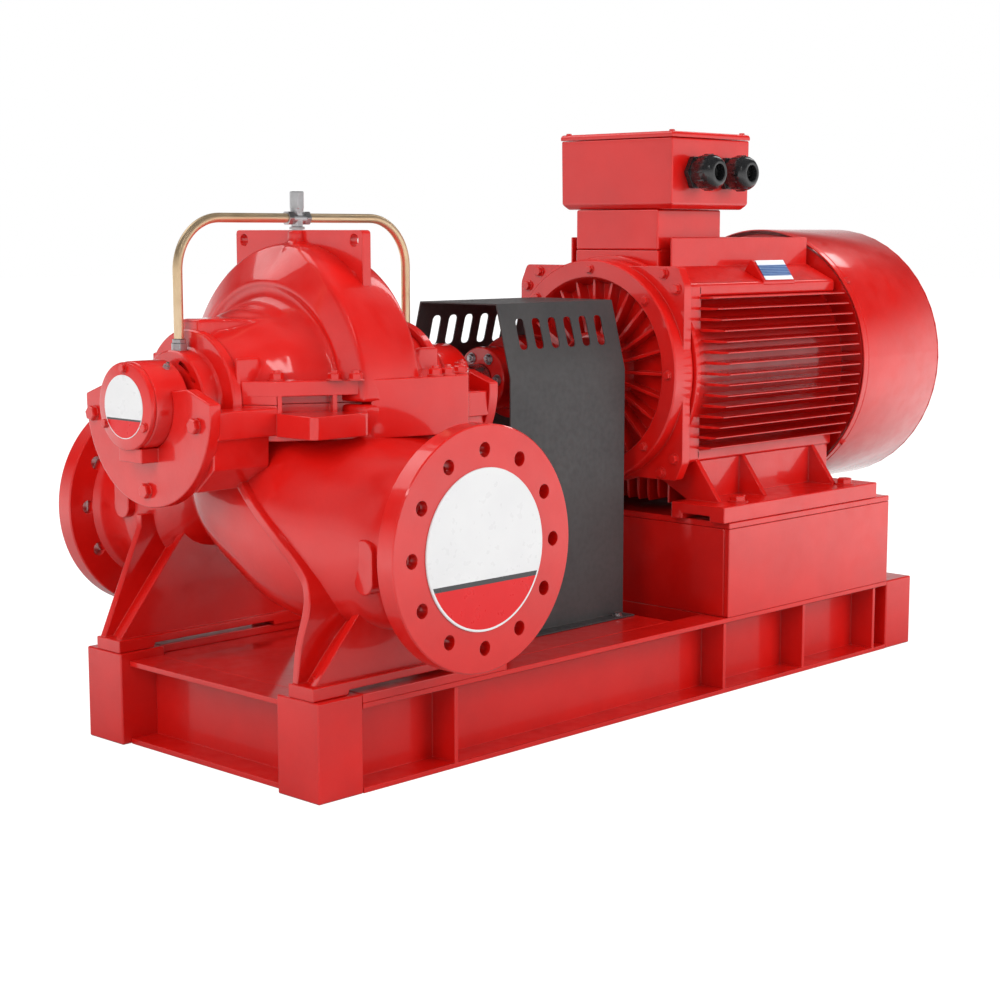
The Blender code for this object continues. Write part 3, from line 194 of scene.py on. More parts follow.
def set_studio():
    set_camera()
    set_world()
    set_floor()
    area_lamp("key", (-3.4, -0.8, 2.2), (-0.3, 0.0, 0.5), 1.6, 58.0, 2.4)
    area_lamp("front", (1.4, -3.6, 1.9), (0.2, 0.0, 0.5), 2.2, 96.0, 2.6)
    area_lamp("top", (0.2, 0.3, 3.6), (0.0, 0.0, 0.5), 1.6, 38.0, 2.6)
    area_lamp("back", (2.8, 2.8, 2.4), (0.2, 0.0, 0.6), 2.0, 45.0)
    area_lamp("strip", (2.6, 0.1, 3.0), (0.2, 0.0, 0.6), 0.55, 10.0, 1.8, mirrored=True)
    area_lamp("panel", (-1.1, 2.0, 3.0), (-0.5, 0.0, 0.7), 1.9, 18.0, 1.9, mirrored=True)
    area_lamp("slit", (-2.2, -2.4, 3.0), (-0.4, 0.0, 0.6), 0.16, 5.0, 1.3, mirrored=True)
    bpy.context.scene.view_settings.view_transform = "Standard"


# Finishes

class Finish:
    """A Principled material whose colour, roughness and bump come from nodes on Object coordinates."""

    def __init__(self, name, roughness=0.4, metallic=0.0, specular=0.5, coat=0.0, coat_roughness=0.1):
        self.material = bpy.data.materials.new(name)
        self.material.use_nodes = True
        self.nodes = self.material.node_tree.nodes
        self.links = self.material.node_tree.links
        self.shader = self.nodes["Principled BSDF"]
        self.shader.inputs["Roughness"].default_value = roughness
        self.shader.inputs["Metallic"].default_value = metallic
        self.shader.inputs["Specular IOR Level"].default_value = specular
        self.shader.inputs["Coat Weight"].default_value = coat
        self.shader.inputs["Coat Roughness"].default_value = coat_roughness
        self.place = self.nodes.new("ShaderNodeTexCoord")

    def noise(self, scale, detail=3.0, stretch=None):
        node = self.nodes.new("ShaderNodeTexNoise")
        node.inputs["Scale"].default_value = scale
        node.inputs["Detail"].default_value = detail
        source = self.place.outputs["Object"]
        if stretch:
            mapping = self.nodes.new("ShaderNodeMapping")
            mapping.inputs["Scale"].default_value = stretch
            self.links.new(source, mapping.inputs["Vector"])
            source = mapping.outputs["Vector"]
        self.links.new(source, node.inputs["Vector"])
        return node.outputs["Fac"]

    def part(self, axis):
        """One of the Object coordinates."""
        node = self.nodes.new("ShaderNodeSeparateXYZ")
        self.links.new(self.place.outputs["Object"], node.inputs[0])
        return node.outputs[axis]

    def sum(self, operation, first, second):
        node = self.nodes.new("ShaderNodeMath")
        node.operation = operation
        for slot, value in zip(node.inputs, (first, second)):
            if isinstance(value, (int, float)):
                slot.default_value = value
            else:
                self.links.new(value, slot)
        return node.outputs[0]

    def span(self, value, low, high, from_low=0.35, from_high=0.65):
        node = self.nodes.new("ShaderNodeMapRange")
        node.inputs["From Min"].default_value = from_low
        node.inputs["From Max"].default_value = from_high
        node.inputs["To Min"].default_value = low
        node.inputs["To Max"].default_value = high
        self.links.new(value, node.inputs["Value"])
        return node.outputs["Result"]

    def mix(self, share, first, second):
        """Mix two colours, each a tuple or a socket, by a share, a number or a socket."""
        node = self.nodes.new("ShaderNodeMix")
        node.data_type = "RGBA"
        for slot, value in ((node.inputs[0], share), (node.inputs[6], first), (node.inputs[7], second)):
            if isinstance(value, (int, float)):
                slot.default_value = value
            elif isinstance(value, tuple):
                slot.default_value = (*value, 1.0)
            else:
                self.links.new(value, slot)
        return node.outputs[2]

    def colour(self, socket):
        self.links.new(socket, self.shader.inputs["Base Color"])

    def rough(self, socket):
        self.links.new(socket, self.shader.inputs["Roughness"])

    def edge(self, radius):
        """A share that rises on edges, and the softened normal that draws them. The finishes mix a lighter colour by
        the share as a painted edge highlight.
        """
        bevel = self.nodes.new("ShaderNodeBevel")
        bevel.samples = 4
        bevel.inputs["Radius"].default_value = radius
        straight = self.nodes.new("ShaderNodeNewGeometry")
        dot = self.nodes.new("ShaderNodeVectorMath")
        dot.operation = "DOT_PRODUCT"
        self.links.new(bevel.outputs["Normal"], dot.inputs[0])
        self.links.new(straight.outputs["Normal"], dot.inputs[1])
        return self.span(dot.outputs["Value"], 1.0, 0.0, 0.80, 0.98), bevel.outputs["Normal"]

    def bump(self, height, strength, distance, normal=None):
        node = self.nodes.new("ShaderNodeBump")
        node.inputs["Strength"].default_value = strength
        node.inputs["Distance"].default_value = distance
        self.links.new(height, node.inputs["Height"])
        if normal is not None:
            self.links.new(normal, node.inputs["Normal"])
        self.links.new(node.outputs["Normal"], self.shader.inputs["Normal"])
        return node.outputs["Normal"]


def red_paint(name, texture, grain, gloss):
    """Glossy red: texture is the strength of the surface's unevenness and grain its scale. Edges are painted a lighter
    pink as a highlight.
    """
    finish = Finish(name, 0.34, coat=0.9, coat_roughness=gloss)
    share, normal = finish.edge(0.0022)
    cloud = finish.span(finish.noise(9.0), 0.0, 1.0)
    body = finish.mix(cloud, (0.640, 0.0060, 0.0035), (0.570, 0.0045, 0.0026))
    speck = finish.span(finish.noise(160.0, 2.0), 0.0, 0.20, 0.45, 0.75)
    body = finish.mix(speck, body, (0.66, 0.010, 0.007))
    # Lighter pink on the edges, broken up by noise: a painted highlight, not wear.
    painted_edge_highlight = finish.sum("MULTIPLY", share, finish.span(finish.noise(24.0), 0.12, 0.40))
    finish.colour(finish.mix(painted_edge_highlight, body, (0.80, 0.11, 0.09)))
    finish.rough(finish.span(finish.noise(30.0), 0.28, 0.42))
    finish.bump(finish.noise(grain, 3.0), texture, 0.0015, normal)
    return finish.material


def charcoal_paint():
    finish = Finish("charcoal_powder_coat", 0.5, coat=0.15, coat_roughness=0.3)
    share, normal = finish.edge(0.0012)
    cloud = finish.span(finish.noise(7.0), 0.0, 1.0)
    body = finish.mix(cloud, (0.050, 0.048, 0.048), (0.040, 0.039, 0.040))
    # Edges painted lighter grey: a painted highlight.
    finish.colour(finish.mix(share, body, (0.16, 0.16, 0.16)))
    finish.rough(finish.span(finish.noise(90.0), 0.42, 0.58))
    finish.bump(finish.noise(900.0, 2.0), 0.12, 0.0006, normal)
    return finish.material


def tube_metal():
    finish = Finish("drawn_tube", 0.36, metallic=0.85)
    cloud = finish.span(finish.noise(14.0), 0.0, 1.0)
    finish.colour(finish.mix(cloud, (0.76, 0.55, 0.33), (0.84, 0.64, 0.42)))
    finish.rough(finish.span(finish.noise(50.0), 0.32, 0.44))
    finish.bump(finish.noise(600.0, 2.0), 0.05, 0.0004)
    return finish.material


def plain_metal(name, light, dark, low, high):
    finish = Finish(name, 0.3, metallic=1.0)
    share, normal = finish.edge(0.0008)
    cloud = finish.span(finish.noise(40.0), 0.0, 1.0)
    body = finish.mix(cloud, light, dark)
    # Edges painted toward white: a painted highlight.
    finish.colour(finish.mix(finish.sum("MULTIPLY", share, 0.5), body, (0.88, 0.88, 0.90)))
    finish.rough(finish.span(finish.noise(120.0), low, high))
    finish.bump(finish.noise(500.0, 2.0), 0.06, 0.0004, normal)
    return finish.material


def black_moulding(name, gloss):
    finish = Finish(name, 0.25, coat=gloss, coat_roughness=0.1)
    share, normal = finish.edge(0.0010)
    cloud = finish.span(finish.noise(20.0), 0.0, 1.0)
    body = finish.mix(cloud, (0.010, 0.010, 0.011), (0.016, 0.016, 0.017))
    # Edges painted lighter grey: a painted highlight.
    finish.colour(finish.mix(share, body, (0.05, 0.05, 0.05)))
    finish.rough(finish.span(finish.noise(80.0), 0.20, 0.34))
    finish.bump(finish.noise(700.0, 2.0), 0.05, 0.0003, normal)
    return finish.material


def banded_white(name, centre, radius, axis):
    """White print with a level red band and a thin charcoal line over it, across a round face."""
    finish = Finish(name, 0.32, coat=0.12, coat_roughness=0.15)
    rise = finish.sum("DIVIDE", finish.sum("SUBTRACT", finish.part("Z"), centre[1]), radius)
    out = finish.sum("DIVIDE", finish.sum("SUBTRACT", finish.part(axis), centre[0]), radius)
    away = finish.sum("SQRT", finish.sum("ADD", finish.sum("MULTIPLY", rise, rise),
                                         finish.sum("MULTIPLY", out, out)), 0.0)
    cloud = finish.span(finish.noise(12.0), 0.0, 1.0)
    body = finish.mix(cloud, (0.73, 0.73, 0.73), (0.70, 0.70, 0.705))
    band = finish.sum("MULTIPLY", finish.sum("LESS_THAN", rise, -0.42), finish.sum("LESS_THAN", away, 0.97))
    line = finish.sum("MULTIPLY", finish.sum("LESS_THAN", rise, -0.36),
                      finish.sum("LESS_THAN", away, 0.97))
    body = finish.mix(line, body, (0.05, 0.05, 0.052))
    body = finish.mix(band, body, (0.66, 0.0012, 0.004))
    finish.colour(body)
    finish.rough(finish.span(finish.noise(60.0), 0.26, 0.38))
    finish.bump(finish.noise(300.0, 2.0), 0.03, 0.0003)
    return finish.material


def lined_plate(name, low, high):
    """A rating plate: white strips above and below a blue field with plain paler lines."""
    finish = Finish(name, 0.35, metallic=0.0, coat=0.3, coat_roughness=0.15)
    share = finish.span(finish.part("Z"), 0.0, 1.0, low, high)
    body = finish.mix(finish.span(finish.noise(50.0), 0.0, 1.0), (0.80, 0.82, 0.86), (0.74, 0.77, 0.82))
    blue = finish.mix(finish.span(finish.noise(70.0), 0.0, 1.0), (0.030, 0.085, 0.24), (0.045, 0.11, 0.29))
    field = finish.sum("MULTIPLY", finish.sum("GREATER_THAN", share, 0.20), finish.sum("LESS_THAN", share, 0.76))
    stripe = finish.sum("GREATER_THAN", finish.sum("FRACT", finish.sum("MULTIPLY", share, 12.0), 0.0), 0.72)
    blue = finish.mix(finish.sum("MULTIPLY", stripe, 0.45), blue, (0.55, 0.66, 0.82))
    finish.colour(finish.mix(field, body, blue))
    finish.rough(finish.span(finish.noise(90.0), 0.28, 0.42))
    finish.bump(finish.noise(600.0, 2.0), 0.04, 0.0003)
    return finish.material


# Mesh making

def solid(data, name):
    """Turn mesh data into an object, its faces outward."""
    bmesh.ops.recalc_face_normals(data, faces=data.faces)
    mesh = bpy.data.meshes.new(name)
    data.to_mesh(mesh)
    data.free()
    item = bpy.data.objects.new(name, mesh)
    bpy.context.scene.collection.objects.link(item)
    return item


def settled(item):
    """Put what an object's modifiers give in its mesh, and drop the modifiers."""
    bpy.context.view_layer.update()
    graph = bpy.context.evaluated_depsgraph_get()
    mesh = bpy.data.meshes.new_from_object(item.evaluated_get(graph))
    item.modifiers.clear()
    item.data = mesh
    return item


def prism(data, outline, low, high, plane):
    """Add a flat outline with a thickness. plane is XY, YZ or XZ, and low to high is its third axis."""
    rings = []
    for level in (low, high):
        places = {"XY": [(a, b, level) for a, b in outline], "YZ": [(level, a, b) for a, b in outline],
                  "XZ": [(a, level, b) for a, b in outline]}[plane]
        rings.append([data.verts.new(place) for place in places])
    for start in range(len(outline)):
        after = (start + 1) % len(outline)
        data.faces.new((rings[0][start], rings[0][after], rings[1][after], rings[1][start]))
    data.faces.new(rings[0])
    data.faces.new(list(reversed(rings[1])))
    return data


def block(data, x0, x1, y0, y1, z0, z1):
    return prism(data, [(x0, y0), (x1, y0), (x1, y1), (x0, y1)], z0, z1, "XY")


def turned(data, profile, axis, centre, steps=96):
    """Add a profile of (place along the axis, radius), closed on the axis or as a ring, turned about it."""
    rings = []
    for along, radius in profile:
        ring = []
        for step in range(1 if radius == 0.0 else steps):
            angle = 2 * math.pi * step / steps
            across, up = radius * math.cos(angle), radius * math.sin(angle)
            offset = {"X": (along, across, up), "Y": (across, along, up), "Z": (across, up, along)}[axis]
            ring.append(data.verts.new(tuple(c + o for c, o in zip(centre, offset))))
        rings.append(ring)
    pairs = list(zip(rings, rings[1:]))
    if profile[0][1] > 0.0:
        pairs.append((rings[-1], rings[0]))
    for first, second in pairs:
        for step in range(steps):
            after = (step + 1) % steps
            if len(first) == 1:
                data.faces.new((first[0], second[step], second[after]))
            elif len(second) == 1:
                data.faces.new((first[step], second[0], first[after]))
            else:
                data.faces.new((first[step], second[step], second[after], first[after]))
    return data


def rod(data, radius, low, high, axis, centre, steps=24):
    return turned(data, [(low, 0.0), (low, radius), (high, radius), (high, 0.0)], axis, centre, steps)


def loft(data, sections, axis, middle, steps):
    """Add a body through rounded sections of (place, half-width, half-height, centre, squareness)."""
    rings = []
    for place, across, height, centre, squareness in sections:
        ring = []
        for corner in range(steps):
            angle = 2 * math.pi * corner / steps
            side = math.copysign(abs(math.cos(angle)) ** (2 / squareness), math.cos(angle)) * across
            z = centre + math.copysign(abs(math.sin(angle)) ** (2 / squareness), math.sin(angle)) * height
            ring.append(data.verts.new((middle + place, side, z) if axis == "X" else (middle + side, place, z)))
        rings.append(ring)
    for first, second in zip(rings, rings[1:]):
        for corner in range(steps):
            after = (corner + 1) % steps
            data.faces.new((first[corner], second[corner], second[after], first[after]))
    data.faces.new(rings[0])
    data.faces.new(list(reversed(rings[-1])))
    return data


def eased(rows, each, corners=()):
    """Rows of numbers with smooth rows between them. The line turns sharply at the rows named as corners."""
    reach = [0.0]
    for first, second in zip(rows, rows[1:]):
        reach.append(reach[-1] + max(math.dist(first[:3], second[:3]), 1e-6))
    last = len(rows) - 1
    stops = {0, last, *corners}

    def slope(first, second):
        return [(b - a) / (reach[second] - reach[first]) for a, b in zip(rows[first], rows[second])]

    result = []
    for index in range(last):
        step = reach[index + 1] - reach[index]
        straight = slope(index, index + 1)
        leave = straight if index in stops else slope(index - 1, index + 1)
        arrive = straight if index + 1 in stops else slope(index, index + 2)
        for part in range(each):
            u = part / each
            shares = (2 * u ** 3 - 3 * u ** 2 + 1, -2 * u ** 3 + 3 * u ** 2,
                      (u ** 3 - 2 * u ** 2 + u) * step, (u ** 3 - u ** 2) * step)
            result.append(tuple(sum(s * v for s, v in zip(shares, values)) for values in
                                zip(rows[index], rows[index + 1], leave, arrive)))
    return result + [tuple(rows[-1])]


def softened(outline, radius, steps=3):
    """An outline with each of its corners rounded."""
    result = []
    for before, corner, after in zip(outline[-1:] + outline[:-1], outline, outline[1:] + outline[:1]):
        to_before = Vector(before) - Vector(corner)
        to_after = Vector(after) - Vector(corner)
        back = min(radius, to_before.length * 0.45, to_after.length * 0.45)
        start = Vector(corner) + to_before.normalized() * back
        end = Vector(corner) + to_after.normalized() * back
        for step in range(steps + 1):
            u = step / steps
            point = start * (1 - u) ** 2 + Vector(corner) * 2 * u * (1 - u) + end * u ** 2
            result.append((point.x, point.y))
    return result


def halve(data, level, upper):
    """Keep what lies over, or under, a level, and close the cut."""
    cut = bmesh.ops.bisect_plane(data, geom=data.verts[:] + data.edges[:] + data.faces[:], dist=1e-6,
                                 plane_co=(0, 0, level), plane_no=(0, 0, 1),
                                 clear_inner=upper, clear_outer=not upper)
    rim = [part for part in cut["geom_cut"] if isinstance(part, bmesh.types.BMEdge)]
    bmesh.ops.holes_fill(data, edges=rim)
    return data


def carve(item, data):
    """Cut mesh data out of an object."""
    tool = solid(data, "cutter")
    step = item.modifiers.new("carve", "BOOLEAN")
    step.operation = "DIFFERENCE"
    step.solver = "EXACT"
    step.object = tool
    settled(item)
    bpy.data.objects.remove(tool, do_unlink=True)
    return item


def broken(item, width, segments=2, angle=30):
    """Round an object's sharp edges."""
    step = item.modifiers.new("edges", "BEVEL")
    step.width = width
    step.segments = segments
    step.limit_method = "ANGLE"
    step.angle_limit = math.radians(angle)
    item.data.shade_smooth()
    item.modifiers.new("faces", "WEIGHTED_NORMAL").keep_sharp = True
    return settled(item)


def rounded_at(item, angle=35):
    """Shade an object smooth, and sharp past an angle."""
    item.data.shade_smooth()
    item.data.set_sharp_from_angle(angle=math.radians(angle))
    return item


def cast_form(data, name, grain, rounds, share=1.0):
    """Melt overlapping bodies into one casting, with fillets where they meet."""
    item = solid(data, name)
    melt = item.modifiers.new("melt", "REMESH")
    melt.mode = "VOXEL"
    melt.voxel_size = grain
    melt.use_smooth_shade = True
    soften = item.modifiers.new("soften", "SMOOTH")
    soften.factor = 0.5
    soften.iterations = rounds
    if share < 1.0:
        item.modifiers.new("thin", "DECIMATE").ratio = share
    settled(item)
    item.data.shade_smooth()
    return item


def joined(items, name):
    """Several objects as one."""
    data = bmesh.new()
    for item in items:
        data.from_mesh(item.data)
        bpy.data.objects.remove(item, do_unlink=True)
    mesh = bpy.data.meshes.new(name)
    data.to_mesh(mesh)
    data.free()
    piece = bpy.data.objects.new(name, mesh)
    bpy.context.scene.collection.objects.link(piece)
    return piece


def fitted(item, finish, replaces=(), body=FIXED, moved=True):
    """Move a finished piece to the frame's coordinates, finish it and hand it to its body."""
    if moved:
        item.data.transform(Matrix.Translation((-SET_SHIFT, 0.0, 0.0)))
    item.data.materials.clear()
    item.data.materials.append(finish)
    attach(item, body)
    if replaces:
        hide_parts(*replaces)
    return item


def traced(node, angle=35):
    """A merged copy of a node's mesh, its round faces smooth."""
    data = bmesh.new()
    data.from_mesh(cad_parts[node].data)
    bmesh.ops.remove_doubles(data, verts=data.verts, dist=0.00002)
    bmesh.ops.dissolve_limit(data, angle_limit=math.radians(0.5), verts=data.verts, edges=data.edges)
    mesh = bpy.data.meshes.new(node)
    data.to_mesh(mesh)
    data.free()
    item = bpy.data.objects.new(node + "_finished", mesh)
    bpy.context.scene.collection.objects.link(item)
    return rounded_at(item, angle)


# Geometry Nodes trees

class Tree:
    """A Geometry Nodes tree with named inputs for its sizes."""

    def __init__(self, name):
        self.tree = bpy.data.node_groups.new(name, "GeometryNodeTree")
        self.tree.interface.new_socket("Geometry", in_out="INPUT", socket_type="NodeSocketGeometry")
        self.tree.interface.new_socket("Geometry", in_out="OUTPUT", socket_type="NodeSocketGeometry")
        self.start = self.tree.nodes.new("NodeGroupInput")
        self.end = self.tree.nodes.new("NodeGroupOutput")
        self.names = {}

    def size(self, name, kind="NodeSocketFloat"):
        socket = self.tree.interface.new_socket(name, in_out="INPUT", socket_type=kind)
        self.names[name] = socket.identifier
        return name

    def node(self, kind, settings=(), **inputs):
        node = self.tree.nodes.new(kind)
        for key, value in settings:
            setattr(node, key, value)
        for key, value in inputs.items():
            slot = node.inputs[key.replace("_", " ")]
            if isinstance(value, str):
                self.tree.links.new(self.start.outputs[value], slot)
            elif isinstance(value, bpy.types.NodeSocket):
                self.tree.links.new(value, slot)
            else:
                slot.default_value = value
        return node

    def attribute(self, name, kind):
        node = self.tree.nodes.new("GeometryNodeInputNamedAttribute")
        node.data_type = kind
        node.inputs["Name"].default_value = name
        return next(socket for socket in node.outputs if socket.enabled)

    def lifted(self, geometry, height):
        """A part moved up its own axis by a height socket."""
        place = self.node("ShaderNodeCombineXYZ", Z=height)
        return self.node("GeometryNodeTransform", Geometry=geometry, Translation=place.outputs[0]).outputs[0]

    def arithmetic(self, operation, first, second):
        node = self.tree.nodes.new("ShaderNodeMath")
        node.operation = operation
        for slot, value in zip(node.inputs, (first, second)):
            if isinstance(value, str):
                self.tree.links.new(self.start.outputs[value], slot)
            elif isinstance(value, bpy.types.NodeSocket):
                self.tree.links.new(value, slot)
            else:
                slot.default_value = value
        return node.outputs[0]

    def together(self, *parts):
        node = self.tree.nodes.new("GeometryNodeJoinGeometry")
        for part in parts:
            self.tree.links.new(part, node.inputs[0])
        return node.outputs[0]

    def set_out(self, part, sized=False):
        """Put a part on every point, turned to the point's own direction, and finish the tree."""
        turn = self.node("FunctionNodeAlignRotationToVector", (("axis", "Z"),),
                         Vector=self.attribute("facing", "FLOAT_VECTOR"))
        spin = self.node("FunctionNodeAxisAngleToRotation", Axis=(0.0, 0.0, 1.0),
                         Angle=self.attribute("turn", "FLOAT"))
        both = self.node("FunctionNodeRotateRotation", (("rotation_space", "LOCAL"),),
                         Rotation=turn.outputs[0], Rotate_By=spin.outputs[0])
        points = self.node("GeometryNodeInstanceOnPoints", Points="Geometry", Instance=part,
                           Rotation=both.outputs[0])
        if sized:
            self.tree.links.new(self.attribute("stretch", "FLOAT_VECTOR"), points.inputs["Scale"])
        self.size("Finish", "NodeSocketMaterial")
        real = self.node("GeometryNodeRealizeInstances", Geometry=points.outputs[0])
        done = self.node("GeometryNodeSetMaterial", Geometry=real.outputs[0], Material="Finish")
        self.tree.links.new(done.outputs[0], self.end.inputs[0])


def fastener_tree():
    """A hex head on a washer, with the thread's end over it."""
    tree = Tree("hex_fasteners")
    for name in ("Head Radius", "Head Height", "Washer Radius", "Washer Height", "Thread Radius", "Thread Height"):
        tree.size(name)
    washer = tree.node("GeometryNodeMeshCylinder", Vertices=20, Radius="Washer Radius", Depth="Washer Height")
    washer = tree.lifted(washer.outputs[0], tree.arithmetic("MULTIPLY", "Washer Height", 0.5))
    straight = tree.arithmetic("MULTIPLY", "Head Height", 0.82)
    head = tree.node("GeometryNodeMeshCylinder", Vertices=6, Radius="Head Radius", Depth=straight)
    head = tree.lifted(head.outputs[0], tree.arithmetic("MULTIPLY", "Head Height", 0.41))
    crown = tree.node("GeometryNodeMeshCone", Vertices=6, Radius_Bottom="Head Radius",
                      Radius_Top=tree.arithmetic("MULTIPLY", "Head Radius", 0.86),
                      Depth=tree.arithmetic("MULTIPLY", "Head Height", 0.18))
    crown = tree.lifted(crown.outputs[0], straight)
    thread = tree.node("GeometryNodeMeshCylinder", Vertices=14, Radius="Thread Radius", Depth="Thread Height")
    thread = tree.lifted(thread.outputs[0], tree.arithmetic("MULTIPLY", "Thread Height", 0.5))
    tree.set_out(tree.together(washer, head, crown, thread))
    return tree


def blade_tree():
    """A tapering blade with a rounded tip, sized by each point's own stretch."""
    tree = Tree("cast_blades")
    for name in ("Length", "Thickness", "Tip Share", "End Slope"):
        tree.size(name)
    size = tree.node("ShaderNodeCombineXYZ", X="Length", Y="Thickness", Z=1.0)
    body = tree.node("GeometryNodeMeshCube", Size=size.outputs[0], Vertices_X=2, Vertices_Y=3, Vertices_Z=11)
    place = tree.node("GeometryNodeInputPosition")
    split = tree.node("ShaderNodeSeparateXYZ", Vector=place.outputs[0])
    rise = tree.arithmetic("ADD", split.outputs[2], 0.5)
    taper = tree.node("ShaderNodeMapRange", Value=rise, To_Min=1.0, To_Max="Tip Share")
    round_off = tree.node("ShaderNodeMapRange", Value=rise, From_Min=0.88, From_Max=1.0, To_Min=1.0, To_Max=0.45)
    narrow = tree.arithmetic("MULTIPLY", taper.outputs[0], round_off.outputs[0])
    slope = tree.arithmetic("MULTIPLY", tree.arithmetic("POWER", rise, 6.0), "End Slope")
    along = tree.arithmetic("MULTIPLY", split.outputs[0], tree.arithmetic("SUBTRACT", 1.0, slope))
    shaped = tree.node("ShaderNodeCombineXYZ", X=along,
                       Y=tree.arithmetic("MULTIPLY", split.outputs[1], narrow), Z=rise)
    body = tree.node("GeometryNodeSetPosition", Geometry=body.outputs[0], Position=shaped.outputs[0])
    tree.set_out(body.outputs[0], sized=True)
    return tree


def spread(tree, name, points, finish, sizes):
    """Bake a tree over points of (place, direction, turn, stretch) into a plain mesh."""
    mesh = bpy.data.meshes.new(name)
    mesh.from_pydata([place for place, *_ in points], [], [])
    for label, kind in (("facing", "FLOAT_VECTOR"), ("turn", "FLOAT"), ("stretch", "FLOAT_VECTOR")):
        mesh.attributes.new(label, kind, "POINT")
    for index, (_, direction, angle, scale) in enumerate(points):
        mesh.attributes["facing"].data[index].vector = direction
        mesh.attributes["turn"].data[index].value = angle
        mesh.attributes["stretch"].data[index].vector = scale
    item = bpy.data.objects.new(name, mesh)
    bpy.context.scene.collection.objects.link(item)
    step = item.modifiers.new("set_out", "NODES")
    step.node_group = tree.tree
    for key, value in sizes.items():
        step[tree.names[key]] = value
    step[tree.names["Finish"]] = finish
    return settled(item)


# Pump casing. The sizes repeat the source's.

HALF_R = 0.234          # from the centre plane to the stuffing box disc's outer face
# place at the crown, place on the discharge side, half-width, half-height
CASING_HALF_SECTIONS = (
    (0.0, 0.0, 0.2400, 0.2555), (0.015, 0.036, 0.2388, 0.2550), (0.024, 0.054, 0.2368, 0.2530),
    (0.0295, 0.0615, 0.2348, 0.2496), (0.0325, 0.0645, 0.2318, 0.2455), (0.054, 0.0695, 0.2120, 0.2185),
    (0.0730, 0.0735, 0.1925, 0.1935), (0.0745, 0.0740, 0.1885, 0.1890), (0.0700, 0.0690, 0.1875, 0.1770),
    (0.0735, 0.0700, 0.1850, 0.1640), (0.0850, 0.0800, 0.1790, 0.1545), (0.0990, 0.0980, 0.1700, 0.1495),
    (0.125, 0.125, 0.1560, 0.1460), (0.145, 0.145, 0.1420, 0.1370), (0.168, 0.168, 0.1270, 0.1240),
    (0.190, 0.190, 0.1160, 0.1150), (0.206, 0.206, 0.1095, 0.1090), (0.2145, 0.2145, 0.1055, 0.1050),
    (0.220, 0.220, 0.1050, 0.1050), (0.2205, 0.2205, 0.0842, 0.0842), (0.268, 0.268, 0.0840, 0.0840))
CASING_CORNERS = (4, 7, 18, 19)
SHAFT_CLEAR = 0.0340


def casing_shell(data, steps=160):
    """The volute and its two humps. The volute's edge runs from the crown out to the discharge side."""
    half = eased(CASING_HALF_SECTIONS, 5, CASING_CORNERS)
    rings = []
    for end, row in [(-1, row) for row in reversed(half[1:])] + [(1, row) for row in half]:
        ring = []
        for step in range(steps):
            angle = 2 * math.pi * step / steps
            across, up = -math.sin(angle), math.cos(angle)
            lean = math.degrees(math.atan2(max(-across, 0.0), abs(up)))
            share = math.sin(math.radians(90.0 * min(1.0, lean / 50.0)))
            share = share if across <= 0.0 else 0.45 * across
            place = row[0] + (row[1] - row[0]) * share
            fuller = 1.0 + 0.04 * max(across, 0.0) if row[2] > 0.2 else 1.0
            ring.append(data.verts.new((PUMP_X + end * place, across * row[2] * fuller, SHAFT_Z + up * row[3])))
        rings.append(ring)
    for first, second in zip(rings, rings[1:]):
        for step in range(steps):
            after = (step + 1) % steps
            data.faces.new((first[step], second[step], second[after], first[after]))
    data.faces.new(rings[0])
    data.faces.new(list(reversed(rings[-1])))
    return data


def shaft_way(item):
    """Open the way for the shaft line."""
    return carve(item, rod(bmesh.new(), SHAFT_CLEAR, -0.40, 0.90, "X", (0.0, 0.0, SHAFT_Z), 48))


def crest(data, end):
    """The level ridge on the suction hump, flared where it meets the volute."""
    outline = [(0.228, 0.024), (0.198, 0.024), (0.144, 0.058), (0.110, 0.074), (0.080, 0.080)]
    plan = [(PUMP_X + end * x, y) for x, y in outline] + [(PUMP_X + end * x, -y) for x, y in reversed(outline)]
    prism(data, plan, SHAFT_Z + 0.060, SHAFT_Z + 0.1335, "XY")


def casing_top():
    data = casing_shell(bmesh.new())
    halve(data, SHAFT_Z + 0.002, True)
    item = shaft_way(solid(data, "casing_top"))
    data = bmesh.new()
    data.from_mesh(item.data)
    bpy.data.objects.remove(item, do_unlink=True)
    for end in (-1, 1):
        crest(data, end)
        for y in (-0.108, 0.108):                   # the hump's stiffening fins, between disc and hump
            x0, x1 = sorted((PUMP_X + end * 0.176, PUMP_X + end * 0.222))
            block(data, x0, x1, y - 0.004, y + 0.004, SHAFT_Z + 0.02, SHAFT_Z + 0.075)
    turned(data, [(0.84, 0.0), (0.84, 0.023), (0.866, 0.019), (0.872, 0.0165), (LIFT_TOP, 0.0160), (LIFT_TOP, 0.0)],
           "Z", (PUMP_X, 0.0, 0.0), 48)
    block(data, PUMP_X + 0.001, PUMP_X + 0.017, -0.150, 0.150, SHAFT_Z + 0.17, SHAFT_Z + 0.212)
    item = cast_form(data, "upper_casing_dome", 0.0031, 4, 0.60)
    fitted(item, CAST, ("upper_casing",))


LIFT_TOP = SHAFT_Z + 0.255 + 0.021


def lifting_plate():
    outline = softened([(-0.165, SHAFT_Z + 0.178), (0.165, SHAFT_Z + 0.178), (0.165, LIFT_TOP),
                        (-0.165, LIFT_TOP)], 0.007)
    item = solid(prism(bmesh.new(), outline, PUMP_X, PUMP_X + 0.018, "YZ"), "lifting_plate")
    for side in (-1, 1):
        carve(item, rod(bmesh.new(), 0.010, PUMP_X - 0.02, PUMP_X + 0.04, "X", (0, side * 0.143, LIFT_TOP - 0.017), 40))
    fitted(broken(item, 0.0016), PLATE)


